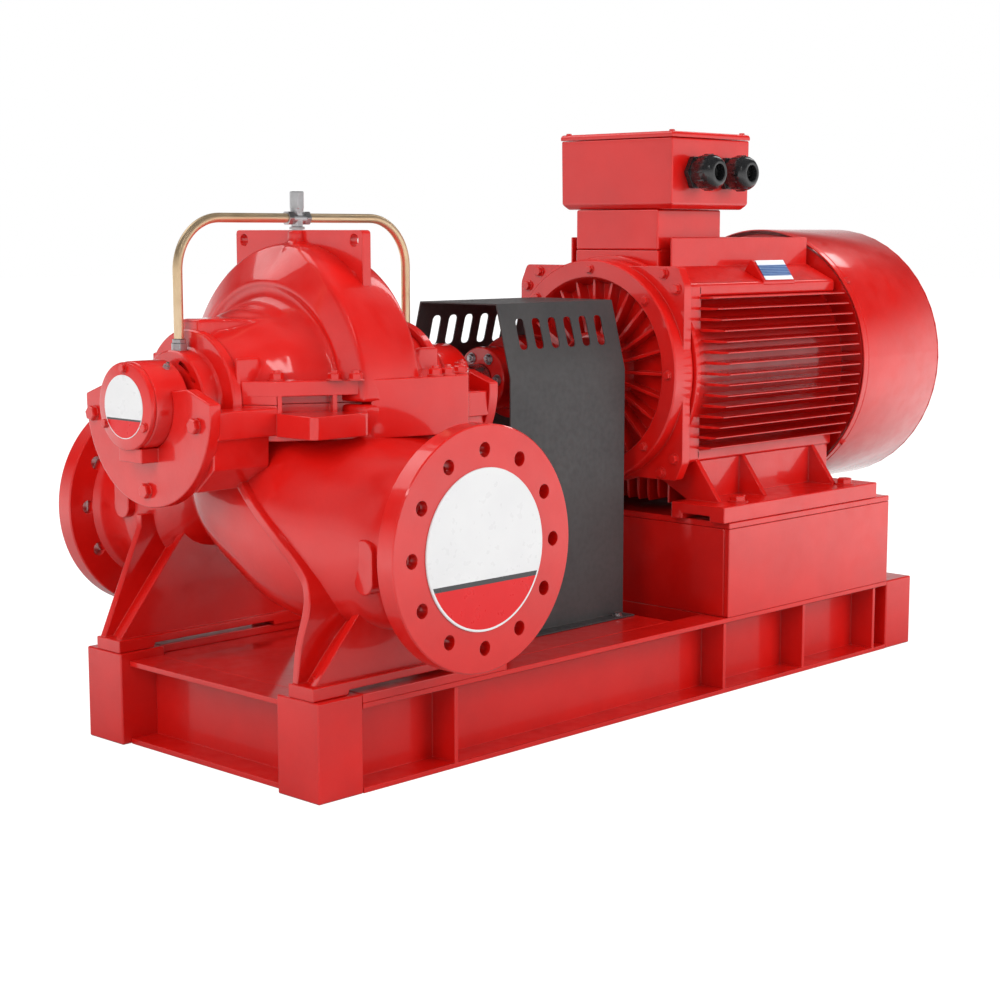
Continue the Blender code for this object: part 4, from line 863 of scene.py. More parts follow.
SPLIT_SLANT = ((-0.181, -0.160), (-0.044, -0.236))
SPLIT_END = [(-0.2155, -0.060), (-0.2155, -0.114)]
SPLIT_BLOCK = [(-0.045, -0.2355), (0.049, -0.2620), (0.138, -0.2700), (0.253, -0.160), (0.253, -0.109),
               (0.222, -0.109), (0.222, -0.060), (-0.045, -0.060)]
SPLIT_DEPTH = 0.024
SPLIT_POSTS = ((0.0, 0.05), (0.57, 0.62), (0.975, 1.0))
SPLIT_LOW, SPLIT_HIGH = SHAFT_Z - 0.058, SHAFT_Z + 0.038
WINDOW_LOW, WINDOW_HIGH = SHAFT_Z - 0.0155, SHAFT_Z + 0.0135


def split_flange():
    """The bolted flanges of the casing halves, with windows along their slanted edges."""
    (x0, y0), (x1, y1) = SPLIT_SLANT
    length = math.hypot(x1 - x0, y1 - y0)
    in_x, in_y = (y0 - y1) / length * SPLIT_DEPTH, (x1 - x0) / length * SPLIT_DEPTH
    full = [*SPLIT_END, *SPLIT_SLANT, (-0.022, -0.226), (-0.022, -0.060)]
    set_in = [*SPLIT_END, (x0 - 0.0005, y0 + 0.0007), (x0 + in_x, y0 + in_y), (x1 + in_x, y1 + in_y),
              (-0.022, y1 + in_y), (-0.022, -0.060)]
    slabs = ((SPLIT_BLOCK, SPLIT_LOW, SPLIT_HIGH), (full, SPLIT_LOW, WINDOW_LOW), (full, WINDOW_HIGH, SPLIT_HIGH),
             (set_in, WINDOW_LOW - 0.001, SHAFT_Z - 0.0003), (set_in, SHAFT_Z + 0.0003, WINDOW_HIGH + 0.001))
    parts = []
    for side in (-1, 1):
        for outline, low, high in slabs:
            plan = [(PUMP_X + x, y * -side) for x, y in outline]
            slab = solid(prism(bmesh.new(), plan, low, high, "XY"), "slab")
            parts.append(broken(slab, 0.0005 if outline is set_in else 0.0016))
        for first, last in SPLIT_POSTS:
            corners = []
            for share, depth in ((first, 0.0), (last, 0.0), (last, 1.1), (first, 1.1)):
                corners.append((PUMP_X + x0 + (x1 - x0) * share + in_x * depth,
                                (y0 + (y1 - y0) * share + in_y * depth) * -side))
            post = prism(bmesh.new(), corners, WINDOW_LOW - 0.002, WINDOW_HIGH + 0.002, "XY")
            parts.append(broken(solid(post, "post"), 0.0012))
    fitted(joined(parts, "split_flange"), CAST)


def box_disc(end, name):
    """The stuffing box disc and the neck in front of it."""
    profile = [(0.216, SHAFT_CLEAR), (0.216, 0.1155), (0.2185, 0.117), (0.2315, 0.117), (0.234, 0.1145),
               (0.234, 0.0890), (0.2365, 0.0860), (0.240, 0.0845), (0.2655, 0.0845), (0.268, 0.082),
               (0.268, 0.066), (0.262, 0.063), (0.262, SHAFT_CLEAR)]
    item = solid(turned(bmesh.new(), [(end * s, r) for s, r in profile], "X", (PUMP_X, 0, SHAFT_Z), 128), name)
    fitted(rounded_at(item, 30), CAST)


BODY_SECTIONS = ((-0.425, 0.152, 0.152, 0.0), (-0.408, 0.150, 0.150, 0.0), (-0.396, 0.1405, 0.1405, 0.0),
                 (-0.36, 0.137, 0.137, 0.0), (-0.33, 0.142, 0.139, 0.0),
                 (-0.29, 0.162, 0.147, 0.001), (-0.24, 0.192, 0.158, 0.006), (-0.18, 0.214, 0.166, 0.014),
                 (-0.12, 0.221, 0.168, 0.026), (-0.06, 0.223, 0.156, 0.048), (0.0, 0.222, 0.138, 0.074),
                 (0.035, 0.208, 0.126, 0.090), (0.08, 0.160, 0.112, 0.098), (0.15, 0.118, 0.110, 0.083),
                 (0.21, 0.106, 0.116, 0.060), (0.26, 0.120, 0.125, 0.028), (0.30, 0.134, 0.135, 0.008),
                 (0.36, 0.137, 0.137, 0.0), (0.396, 0.1405, 0.1405, 0.0), (0.408, 0.150, 0.150, 0.0),
                 (0.425, 0.152, 0.152, 0.0))
NOZZLE_Z = 0.392
PAD_TOP = 0.1623
FOOT_TOP = PAD_TOP + 0.022
FOOT_LENGTH = 0.420
RIB_SHAPE = ((0.241, 0.182, 0.254, 0.182, 0.006), (0.240, 0.240, 0.255, 0.240, 0.014),
             (0.247, 0.306, 0.263, 0.306, 0.026), (0.236, 0.341, 0.250, 0.350, 0.030),
             (0.197, 0.395, 0.208, 0.405, 0.014), (0.137, 0.452, 0.147, 0.463, 0.008),
             (0.085, 0.500, 0.094, 0.512, 0.014))


def lobe_rib(data, end):
    rings = []
    for inner_y, inner_z, outer_y, outer_z, inset in eased(RIB_SHAPE, 4):
        places = [(inset, inner_y, inner_z), (inset, outer_y, outer_z), (0.110, outer_y, outer_z),
                  (0.110, inner_y, inner_z)]
        rings.append([data.verts.new((x if end < 0 else FOOT_LENGTH - x, -y, z)) for x, y, z in places])
    for first, second in zip(rings, rings[1:]):
        for corner in range(4):
            after = (corner + 1) % 4
            data.faces.new((first[corner], second[corner], second[after], first[after]))
    data.faces.new(rings[0])
    data.faces.new(list(reversed(rings[-1])))


def foot_web(shape, low, high, top, set_back=0.0):
    inset, reach, height = shape
    half = [(inset + set_back, top - 0.004), (reach + set_back, top + height), (reach + set_back, NOZZLE_Z)]
    outline = half + [(FOOT_LENGTH - x, z) for x, z in reversed(half)]
    return broken(solid(prism(bmesh.new(), outline, low, high, "XZ"), "web"), 0.0020, 3)


def pump_foot(side, outer, inner):
    y0, y1 = sorted((side * outer, side * inner))
    foot = bmesh.new()
    outline = [(0.0, PAD_TOP), (0.074, PAD_TOP), (0.076, PAD_TOP + 0.008), (FOOT_LENGTH - 0.076, PAD_TOP + 0.008),
               (FOOT_LENGTH - 0.074, PAD_TOP), (FOOT_LENGTH, PAD_TOP), (FOOT_LENGTH, FOOT_TOP), (0.0, FOOT_TOP)]
    parts = [broken(solid(prism(foot, outline, y0, y1, "XZ"), "foot"), 0.0018)]
    low, high = y0 + 0.010, y1 - 0.004
    if side > 0:
        parts += [foot_web((0.006, 0.165, 0.191), low, low + 0.014, FOOT_TOP),
                  foot_web((0.003, 0.087, 0.186), high - 0.014, high, FOOT_TOP),
                  foot_web((0.006, 0.165, 0.191), low + 0.010, high - 0.004, FOOT_TOP, 0.013)]
    else:
        parts += [foot_web((0.010, 0.120, 0.118), low, low + 0.014, FOOT_TOP),
                  foot_web((0.010, 0.120, 0.118), low + 0.010, high - 0.004, FOOT_TOP, 0.013)]
    return parts


def casing_lugs():
    """The side bosses, tapping bosses, bracket troughs and arms of the lower casing."""
    parts = []
    for side in (-1, 1):
        boss = [(-0.185, 0.158), (-0.183, 0.243), (-0.176, 0.250), (-0.069, 0.250), (-0.049, 0.225), (-0.049, 0.158)]
        plan = softened([(PUMP_X + x, side * y) for x, y in boss], 0.006)
        parts.append(solid(prism(bmesh.new(), plan, SHAFT_Z - 0.050, SHAFT_Z - 0.013, "XY"), "side_boss"))
    for y, z in ((-0.322, 0.367), (0.318, 0.424)):
        oblong = []
        for step in range(32):
            angle = 2 * math.pi * (step + 0.5) / 32
            oblong.append((y + 0.021 * math.cos(angle),
                           z + math.copysign(0.023, math.sin(angle)) + 0.021 * math.sin(angle)))
        parts.append(solid(prism(bmesh.new(), oblong, PUMP_X - 0.149, PUMP_X - 0.02, "YZ"), "tapping_boss"))
    shape = [(0.150, -0.047), (0.148, -0.096), (0.104, -0.134)]
    inner = [(0.112, -0.047), (0.104, -0.078), (0.070, -0.105)]
    for end in (-1, 1):
        back = PUMP_X + end * 0.301
        x0, x1 = sorted((back, PUMP_X + end * 0.190))
        trough = shape + [(-y, z) for y, z in reversed(shape)] + [(-y, z) for y, z in inner] + inner[::-1]
        parts.append(solid(prism(bmesh.new(), [(y, SHAFT_Z + z) for y, z in trough], x0, x1, "YZ"), "trough"))
        x0, x1 = sorted((back, PUMP_X + end * 0.170))
        for side in (-1, 1):
            y0, y1 = sorted((side * 0.113, side * 0.159))
            arm = block(bmesh.new(), x0, x1, y0, y1, SHAFT_Z - 0.0485, SHAFT_Z - 0.004)
            parts.append(solid(arm, "arm"))
    return [broken(item, 0.0024, 3) for item in parts]


def casing_bottom():
    data = casing_shell(bmesh.new())
    halve(data, SHAFT_Z - 0.002, False)
    item = shaft_way(solid(data, "casing_bottom"))
    data = bmesh.new()
    data.from_mesh(item.data)
    bpy.data.objects.remove(item, do_unlink=True)
    rows = [(place, wide, high, NOZZLE_Z + rise, 2.5 if rise > 0.0 else 2.0)
            for place, wide, high, rise in BODY_SECTIONS]
    loft(data, eased(rows, 5), "Y", PUMP_X, 112)
    item = cast_form(data, "lower_casing_body", 0.0040, 6, 0.62)
    fitted(item, CAST, ("lower_casing",))
    parts = casing_lugs()
    for end in (-1, 1):
        data = bmesh.new()
        lobe_rib(data, end)
        parts.append(broken(solid(data, "rib"), 0.0025, 3, 40))
    for side, outer, inner in ((-1, 0.299, 0.239), (1, 0.280, 0.213)):
        parts += pump_foot(side, outer, inner)
    fitted(joined(parts, "pump_feet_castings"), CAST)


def nozzle_flange(side, name):
    face, back = side * 0.443, side * 0.407
    profile = [(back, 0.120), (back, 0.196), (back + side * 0.002, 0.198), (face - side * 0.002, 0.198),
               (face, 0.196), (face, 0.120)]
    item = solid(turned(bmesh.new(), profile, "Y", (PUMP_X, 0.0, NOZZLE_Z), 144), name)
    holes = bmesh.new()
    low, high = sorted((side * 0.39, side * 0.46))
    for index in range(12):
        angle = 2 * math.pi * index / 12
        rod(holes, 0.012, low, high, "Y", (PUMP_X + 0.158 * math.sin(angle), 0.0,
                                           NOZZLE_Z + 0.158 * math.cos(angle)), 32)
    carve(item, holes)
    fitted(broken(item, 0.0012, 2, 40), CAST)


def nozzle_cover(side, name, finish):
    low, high = side * 0.4433, side * 0.4463
    profile = [(low, 0.0), (low, 0.130), (high - side * 0.0008, 0.130), (high, 0.1292), (high, 0.0)]
    item = solid(turned(bmesh.new(), profile, "Y", (PUMP_X, 0.0, NOZZLE_Z), 160), name)
    fitted(rounded_at(item), finish, (name.replace("_disc", ""),))


def bearing_bracket(end, name):
    face = PUMP_X + end * 0.319
    back = PUMP_X + end * 0.297
    outline = []
    for step in range(61):
        angle = math.pi + math.pi * step / 60
        outline.append((0.165 * math.cos(angle), SHAFT_Z + 0.165 * math.sin(angle)))
    crown = [(0.165, 0.010), (0.107, 0.030), (0.078, 0.026)]
    outline += [(y, SHAFT_Z + z) for y, z in crown] + [(-y, SHAFT_Z + z) for y, z in reversed(crown)]
    low, high = sorted((face, back))
    item = solid(prism(bmesh.new(), outline, low, high, "YZ"), name)
    carve(item, rod(bmesh.new(), 0.0712, low - 0.05, high + 0.05, "X", (0, 0, SHAFT_Z), 96))
    plate = broken(item, 0.0022)
    low, high = sorted((face - end * 0.004, face + end * 0.033))
    seat = solid(block(bmesh.new(), low, high, -0.030, 0.030, SHAFT_Z - 0.090, SHAFT_Z - 0.066), "seat")
    fitted(joined([plate, broken(seat, 0.002)], name), CAST)


def bearing_housing(end, name):
    profile = [(0.349, 0.0286), (0.349, 0.0680), (0.3475, 0.0700), (0.3455, 0.0710), (0.288, 0.0710),
               (0.285, 0.0685), (0.284, 0.0560), (0.281, 0.0525), (0.2745, 0.0520), (0.2745, 0.0286)]
    item = solid(turned(bmesh.new(), [(end * s, r) for s, r in profile], "X", (PUMP_X, 0, SHAFT_Z), 112), name)
    fitted(rounded_at(item, 30), CAST, (name.replace("_drum", ""),))


def bearing_cover():
    face = PUMP_X - 0.3493
    profile = [(face, 0.0), (face, 0.0700), (face - 0.0075, 0.0700), (face - 0.0092, 0.0692),
               (face - 0.010, 0.0675), (face - 0.010, 0.0)]
    item = solid(turned(bmesh.new(), profile, "X", (0.0, 0.0, SHAFT_Z), 112), "bearing_cover_plate")
    fitted(rounded_at(item, 30), CAST, ("outboard_bearing_cover",))
    low = face - 0.010
    profile = [(low + 0.002, 0.0), (low + 0.002, 0.051), (low - 0.0006, 0.0508), (low - 0.0007, 0.0)]
    item = solid(turned(bmesh.new(), profile, "X", (0.0, 0.003, SHAFT_Z - 0.001), 96), "bearing_cover_disc")
    fitted(rounded_at(item), DISC)


def vent_fittings():
    base = LIFT_TOP + 0.0006
    stem = solid(rod(bmesh.new(), 0.0105, base, 0.9235, "Z", (PUMP_X, 0, 0), 6), "stem")
    parts = [broken(stem, 0.0012)]
    for low, high in ((-0.0238, -0.0140), (0.0140, 0.0238)):
        nut = solid(rod(bmesh.new(), 0.0125, PUMP_X + low, PUMP_X + high, "X", (0, 0, LIFT_TOP + 0.020), 6), "nut")
        parts.append(broken(nut, 0.0012))
    arm = solid(rod(bmesh.new(), 0.0098, PUMP_X - 0.015, PUMP_X + 0.015, "X", (0, 0, LIFT_TOP + 0.020), 32), "arm")
    parts.append(rounded_at(arm))
    collar = solid(turned(bmesh.new(), [(base + 0.0005, 0.0), (base + 0.0005, 0.013), (base + 0.004, 0.013),
                                        (base + 0.005, 0.012), (base + 0.005, 0.0)], "Z", (PUMP_X, 0, 0), 40), "collar")
    parts.append(rounded_at(collar))
    fitted(joined(parts, "vent_cross_fitting"), FITTING, ("vent_cross",))
    cap = solid(rod(bmesh.new(), 0.0128, 0.9243, 0.9535, "Z", (PUMP_X, 0, 0), 6), "cap")
    ring = solid(rod(bmesh.new(), 0.0112, 0.920, 0.9260, "Z", (PUMP_X, 0, 0), 32), "ring")
    fitted(joined([broken(cap, 0.0016), rounded_at(ring)], "vent_cap_fitting"), FITTING, ("vent_cap",))


def flush_pipe(end, name):
    leg_x = PUMP_X + end * 0.251
    bend, level = 0.085, LIFT_TOP + 0.020
    points = [(leg_x, SHAFT_Z + 0.084 + 0.0186)]
    for step in range(21):
        angle = math.pi / 2 * step / 20
        points.append((leg_x - end * bend * (1 - math.cos(angle)), level - bend * (1 - math.sin(angle))))
    points.append((PUMP_X + end * 0.0243, level))
    curve = bpy.data.curves.new(name, "CURVE")
    curve.dimensions = "3D"
    curve.bevel_depth = 0.0079
    curve.bevel_resolution = 8
    curve.use_fill_caps = True
    spline = curve.splines.new("POLY")
    spline.points.add(len(points) - 1)
    for point, (x, z) in zip(spline.points, points):
        point.co = (x, 0.0, z, 1.0)
    item = bpy.data.objects.new(name, curve)
    bpy.context.scene.collection.objects.link(item)
    bpy.context.view_layer.update()
    mesh = bpy.data.meshes.new_from_object(item.evaluated_get(bpy.context.evaluated_depsgraph_get()))
    bpy.data.objects.remove(item, do_unlink=True)
    tube = bpy.data.objects.new(name, mesh)
    bpy.context.scene.collection.objects.link(tube)
    fitted(rounded_at(tube, 50), TUBE, (name.replace("_tube", ""),))
    x = leg_x
    base = SHAFT_Z + 0.0848
    parts = [broken(solid(rod(bmesh.new(), 0.0138, base - 0.004, base + 0.011, "Z", (x, 0, 0), 6), "nut"), 0.0012),
             broken(solid(rod(bmesh.new(), 0.0118, base + 0.010, base + 0.0175, "Z", (x, 0, 0), 6), "nut"), 0.0010)]
    node = "pipe_nut_outboard" if end < 0 else "pipe_nut_inboard"
    fitted(joined(parts, node + "_hex"), FITTING, (node,))


# Guard and drive line

def coupling_guard():
    sheet = 0.003
    foot_z = 0.147 + 0.0003
    outer = [(0.165, foot_z), (0.165, foot_z + sheet), (0.135, foot_z + sheet), (0.135, 0.625), (0.100, 0.757)]
    inner = [(0.100 - 0.0025, 0.754), (0.132, 0.6245), (0.132, foot_z)]
    outline = outer + [(-y, z) for y, z in reversed(outer)] + [(-y, z) for y, z in reversed(inner)] + inner
    item = solid(prism(bmesh.new(), outline, 0.616, 0.935, "YZ"), "coupling_guard_sheet")
    slots = bmesh.new()
    pitch = (0.319 - 0.060) / 6
    for index in range(6):
        x = 0.616 + 0.030 + pitch * (index + 0.5)
        shape = softened([(x - 0.011, 0.673), (x + 0.011, 0.673), (x + 0.011, 0.729), (x - 0.011, 0.729)], 0.0105, 6)
        prism(slots, shape, -0.27, 0.27, "XZ")
    carve(item, slots)
    fitted(broken(item, 0.0009, 2, 28), CHARCOAL, ("coupling_guard",))


def coupling_hub(start, radius, node):
    end = start + 0.075
    profile = [(start, 0.0285), (start, radius - 0.002), (start + 0.002, radius), (start + 0.030, radius),
               (start + 0.032, radius - 0.002), (start + 0.036, radius - 0.002), (start + 0.038, radius),
               (end - 0.002, radius), (end, radius - 0.002), (end, 0.0285)]
    item = solid(turned(bmesh.new(), profile, "X", (0, 0, SHAFT_Z), 96), node + "_hub")
    fitted(rounded_at(item, 30), PLATE, (node,), body=TURNING)
    return start


def shaft(start, end, radius, node):
    profile = [(start, 0.0), (start, radius - 0.0015), (start + 0.0015, radius), (end - 0.0015, radius),
               (end, radius - 0.0015), (end, 0.0)]
    item = solid(turned(bmesh.new(), profile, "X", (0, 0, SHAFT_Z), 72), node + "_bar")
    fitted(rounded_at(item), STEEL, (node,), TURNING)


def drive_line():
    shaft(PUMP_X - 0.343, 0.6757, 0.028, "pump_shaft")
    coupling_hub(0.676, 0.060, "pump_coupling_half")
    coupling_hub(0.7513, 0.078, "motor_coupling_half")
    shaft(0.8266, 1.6007, 0.034, "motor_shaft")
    start = 1.601
    profile = [(start, 0.0), (start, 0.056), (start + 0.004, 0.060), (start + 0.066, 0.060), (start + 0.070, 0.056),
               (start + 0.070, 0.0)]
    hub = rounded_at(solid(turned(bmesh.new(), profile, "X", (0, 0, SHAFT_Z), 72), "hub"))
    middle = start + 0.035
    points = []
    for index in range(7):
        angle = 2 * math.pi * index / 7
        out = Vector((0.0, -math.sin(angle), math.cos(angle)))
        points.append(((middle, out.y * 0.054, SHAFT_Z + out.z * 0.054), out, 0.0, (1.0, 1.0, 0.136)))
    blades = spread(BLADES, "fan_blades", points, FAN_BLACK,
                    {"Length": 0.060, "Thickness": 0.008, "Tip Share": 0.7, "End Slope": 0.06})
    fitted(joined([hub, blades], "cooling_fan_wheel"), FAN_BLACK, ("cooling_fan",), TURNING)
    pins = []
    for index in range(6):
        angle = 2 * math.pi * index / 6
        pins.append(((0.6758, 0.044 * math.cos(angle), SHAFT_Z + 0.044 * math.sin(angle)), (-1, 0, 0), 0.0, (1, 1, 1)))
    item = spread(FASTENERS, "coupling_pins", pins, STEEL,
                  {"Head Radius": 0.0085, "Head Height": 0.007, "Washer Radius": 0.0105, "Washer Height": 0.0015,
                   "Thread Radius": 0.004, "Thread Height": 0.0095})
    fitted(item, STEEL, (), TURNING)


# Motor

MOTOR_DRUM_R = 0.222
MOTOR_FIN_R = 0.276
FIN_START, FIN_END = 1.077, 1.532


def motor_drum():
    start = 1.0413
    profile = [(start, 0.0345), (start + 0.001, 0.225), (start + 0.0025, 0.2265), (start + 0.0115, 0.2265),
               (start + 0.013, 0.225), (start + 0.014, 0.2195), (1.545, 0.2195), (1.549, 0.267), (1.5505, 0.268),
               (1.5595, 0.268), (1.561, 0.267), (1.561, 0.2185), (1.575, 0.2185), (1.575, 0.0345)]
    item = solid(turned(bmesh.new(), profile, "X", (0, 0, SHAFT_Z), 144), "motor_drum")
    fitted(rounded_at(item, 30), CAST, ("motor_frame",))


def motor_fins():
    """The fins on the sides, top and bottom of the drum, set out by rule."""
    middle = (FIN_START + FIN_END) / 2
    points = []

    def add(out, offset, limit):
        far = abs(offset) + 0.0025
        root = math.sqrt(MOTOR_DRUM_R ** 2 - far ** 2) - 0.006
        tip = min(limit, math.sqrt(MOTOR_FIN_R ** 2 - far ** 2))
        side = out[0] * root, out[1] * root
        across = (side[0] + (offset if out[0] == 0 else 0.0), side[1] + (offset if out[1] == 0 else 0.0))
        points.append(((middle, across[0], SHAFT_Z + across[1]), (0.0, out[0], out[1]), 0.0,
                       (1.0, 1.0, tip - root)))

    for step in range(-7, 8):
        add((1, 0), step * 0.0209, MOTOR_FIN_R)
        add((-1, 0), step * 0.0209, MOTOR_FIN_R)
    for step in range(-4, 5):
        add((0, 1), step * 0.026, 0.262)
        add((0, -1), step * 0.026, 0.262)
    item = spread(BLADES, "motor_cooling_fins", points, CAST,
                  {"Length": FIN_END - FIN_START, "Thickness": 0.0062, "Tip Share": 0.72, "End Slope": 0.018})
    fitted(rounded_at(item, 40), CAST)


def corner_points(growth=0.0):
    upper = [(0.203 + growth, 0.172), (0.203 - growth / 2, 0.207), (0.130, 0.207)] if growth else [
        (0.203, 0.172), (0.130, 0.207)]
    upper += [(-y, z) for y, z in reversed(upper)]
    return [(y, SHAFT_Z + z) for y, z in upper] + [(y, SHAFT_Z - z) for y, z in reversed(upper)]


def motor_corners():
    """The corner blocks, the long sloping shoulders and the upright panels beside the top fins."""
    parts = []
    block_plate = solid(prism(bmesh.new(), softened(corner_points(), 0.006), 1.050, FIN_START + 0.004, "YZ"), "blocks")
    carve(block_plate, rod(bmesh.new(), 0.205, 1.0, 1.2, "X", (0, 0, SHAFT_Z), 96))
    parts.append(broken(block_plate, 0.002))
    for y_side in (-1, 1):
        for z_side in (-1, 1):
            shape = [(0.140, 0.130), (0.190, 0.147), (0.203, 0.150), (0.203, 0.172), (0.130, 0.207), (0.118, 0.185)]
            shape = [(y * y_side, SHAFT_Z + z * z_side) for y, z in softened(shape, 0.004)]
            parts.append(broken(solid(prism(bmesh.new(), shape, FIN_START, FIN_END, "YZ"), "shoulder"), 0.0016))
            y0, y1 = sorted((y_side * 0.1275, y_side * 0.1325))
            z0, z1 = sorted((SHAFT_Z + z_side * 0.190, SHAFT_Z + z_side * 0.262))
            parts.append(broken(solid(block(bmesh.new(), FIN_START, FIN_END, y0, y1, z0, z1), "panel"), 0.0018))
    fitted(joined(parts, "motor_corner_castings"), CAST)


def motor_feet():
    parts = []
    low, high = 0.3323, 0.3643
    shelf, drop = SHAFT_Z - 0.172, SHAFT_Z - 0.207
    for side in (-1, 1):
        y0, y1 = sorted((side * 0.310, side * 0.180))
        foot = solid(block(bmesh.new(), 1.025, 1.551, y0, y1, low, high), "foot")
        s0, s1 = sorted((side * 0.274, side * 0.207))
        slots = bmesh.new()
        block(slots, 1.02, 1.085, s0, s1, low - 0.01, low + 0.011)
        block(slots, 1.491, 1.56, s0, s1, low - 0.01, low + 0.011)
        carve(foot, slots)
        parts.append(broken(foot, 0.0022))
        w0, w1 = sorted((side * 0.186, side * 0.198))
        parts.append(broken(solid(block(bmesh.new(), 1.081, 1.528, w0, w1, high - 0.004, shelf + 0.004), "wall"), 0.0015))
        shape = [(side * 0.264, high - 0.004), (side * 0.258, high + 0.004), (side * 0.201, shelf + 0.004),
                 (side * 0.100, shelf), (side * 0.100, drop), (side * 0.186, high - 0.004)]
        for share in (0.10, 0.38, 0.84):
            x = 1.025 + share * 0.526
            parts.append(broken(solid(prism(bmesh.new(), shape, x - 0.006, x + 0.006, "YZ"), "gusset"), 0.0018))
    fitted(joined(parts, "motor_feet_castings"), CAST)


def motor_neck():
    data = bmesh.new()
    block(data, 1.064, 1.265, -0.107, 0.107, 0.780, 0.850)
    pad = broken(solid(data, "motor_neck_pad"), 0.0025)
    fitted(pad, CAST)
    neck = broken(solid(block(bmesh.new(), 1.064, 1.265, -0.107, 0.107, 0.8503, 0.9297), "terminal_neck_casting"), 0.004, 3)
    fitted(neck, CAST, ("terminal_neck",))


def stack(data, levels):
    """A body through level rectangles of (height, x0, x1, half depth)."""
    rings = []
    for z, x0, x1, half in levels:
        rings.append([data.verts.new(p) for p in ((x0, -half, z), (x1, -half, z), (x1, half, z), (x0, half, z))])
    for first, second in zip(rings, rings[1:]):
        for corner in range(4):
            after = (corner + 1) % 4
            data.faces.new((first[corner], first[after], second[after], second[corner]))
    data.faces.new(rings[0])
    data.faces.new(rings[-1])
    return data


def terminal_box():
    levels = [(0.9300, 1.070, 1.296, 0.134), (0.9400, 1.0605, 1.3055, 0.1435), (1.0560, 1.0595, 1.3065, 0.1445),
              (1.0677, 1.0595, 1.3065, 0.1445)]
    item = broken(solid(stack(bmesh.new(), levels), "terminal_box_casting"), 0.0032, 3)
    fitted(item, CAST, ("terminal_box",))
    levels = [(1.0683, 1.0582, 1.3078, 0.1458), (1.0755, 1.0582, 1.3078, 0.1458), (1.0798, 1.0610, 1.3050, 0.1430)]
    item = broken(solid(stack(bmesh.new(), levels), "terminal_lid_cover"), 0.0018, 2)
    fitted(item, CAST, ("terminal_lid",))


def cable_gland(x, node):
    centre = (x, -0.1443, 1.001)
    nut = broken(solid(turned(bmesh.new(), [(0.0, 0.0), (0.0, 0.0355), (-0.011, 0.0355), (-0.011, 0.0)], "Y", centre, 6),
                       "nut"), 0.0015)
    profile = [(-0.010, 0.012), (-0.010, 0.029), (-0.022, 0.029), (-0.0225, 0.0325), (-0.024, 0.034),
               (-0.044, 0.034), (-0.050, 0.0325), (-0.056, 0.029), (-0.0605, 0.024), (-0.0618, 0.020),
               (-0.0610, 0.0165), (-0.058, 0.0160), (-0.040, 0.0160), (-0.038, 0.012)]
    dome = rounded_at(solid(turned(bmesh.new(), profile, "Y", centre, 72), "dome"), 50)
    ridges = []
    for index in range(12):
        angle = 2 * math.pi * index / 12
        out = Vector((math.cos(angle), 0.0, math.sin(angle)))
        ridges.append(((x + out.x * 0.0325, -0.1443 - 0.034, 1.001 + out.z * 0.0325), (0, -1, 0), angle, (1, 1, 1)))
    grip = spread(GRIPS, "grip", ridges, GLAND_BLACK, {"Ridge Radius": 0.0030, "Ridge Length": 0.020})
    floor = rounded_at(solid(rod(bmesh.new(), 0.0165, -0.042, -0.037, "Y", centre, 40), "floor"))
    fitted(joined([nut, dome, grip, floor], node + "_moulding"), GLAND_BLACK, (node,))


def grip_tree():
    """A round ridge that lies along each point's direction."""
    tree = Tree("gland_ridges")
    for name in ("Ridge Radius", "Ridge Length"):
        tree.size(name)
    ridge = tree.node("GeometryNodeMeshCylinder", Vertices=10, Radius="Ridge Radius", Depth="Ridge Length")
    tree.set_out(ridge.outputs[0])
    return tree


def drive_end_shield():
    front, back = 0.985, 1.0407
    profile = [(back, 0.0345), (back, 0.2150), (back - 0.003, 0.219), (front + 0.003, 0.219), (front, 0.2165),
               (front, 0.1855), (front + 0.003, 0.1825), (front + 0.010, 0.180), (front + 0.040, 0.172),
               (front + 0.040, 0.082), (front + 0.004, 0.0765), (front, 0.0745), (front - 0.006, 0.069),
               (front - 0.008, 0.066), (front - 0.008, 0.0345)]
    shell = rounded_at(solid(turned(bmesh.new(), profile, "X", (0, 0, SHAFT_Z), 144), "shell"), 28)
    points = []
    for index in range(24):
        angle = 2 * math.pi * index / 24
        out = Vector((0.0, -math.sin(angle), math.cos(angle)))
        points.append(((1.0125, out.y * 0.074, SHAFT_Z + out.z * 0.074), out, 0.0, (1.0, 1.0, 0.108)))
    ribs = rounded_at(spread(BLADES, "shield_ribs", points, CAST,
                             {"Length": 0.029, "Thickness": 0.0062, "Tip Share": 0.95, "End Slope": 0.0}), 40)
    corners = solid(prism(bmesh.new(), softened(corner_points(0.011), 0.007), 1.015, 1.037, "YZ"), "corners")
    carve(corners, rod(bmesh.new(), 0.212, 1.0, 1.06, "X", (0, 0, SHAFT_Z), 96))
    item = joined([shell, ribs, broken(corners, 0.002)], "drive_end_shield_casting")
    fitted(item, CAST, ("drive_end_shield",))


def fan_cover():
    start, end = 1.541, 1.8297
    outer, inner = 0.278, 0.2752
    profile = [(start, inner), (start, outer - 0.0008), (start + 0.001, outer), (start + 0.012, outer),
               (start + 0.0135, outer - 0.0010), (start + 0.0165, outer - 0.0010), (start + 0.018, outer),
               (end - 0.004, outer), (end - 0.001, outer - 0.0010), (end, outer - 0.0024), (end, inner - 0.0015),
               (end - 0.002, inner)]
    item = solid(turned(bmesh.new(), profile, "X", (0, 0, SHAFT_Z), 160), "fan_cover_sheet")
    fitted(rounded_at(item, 30), PLATE, ("fan_cover",))
    fitted(traced("fan_grille"), PLATE, ("fan_grille",), moved=False)


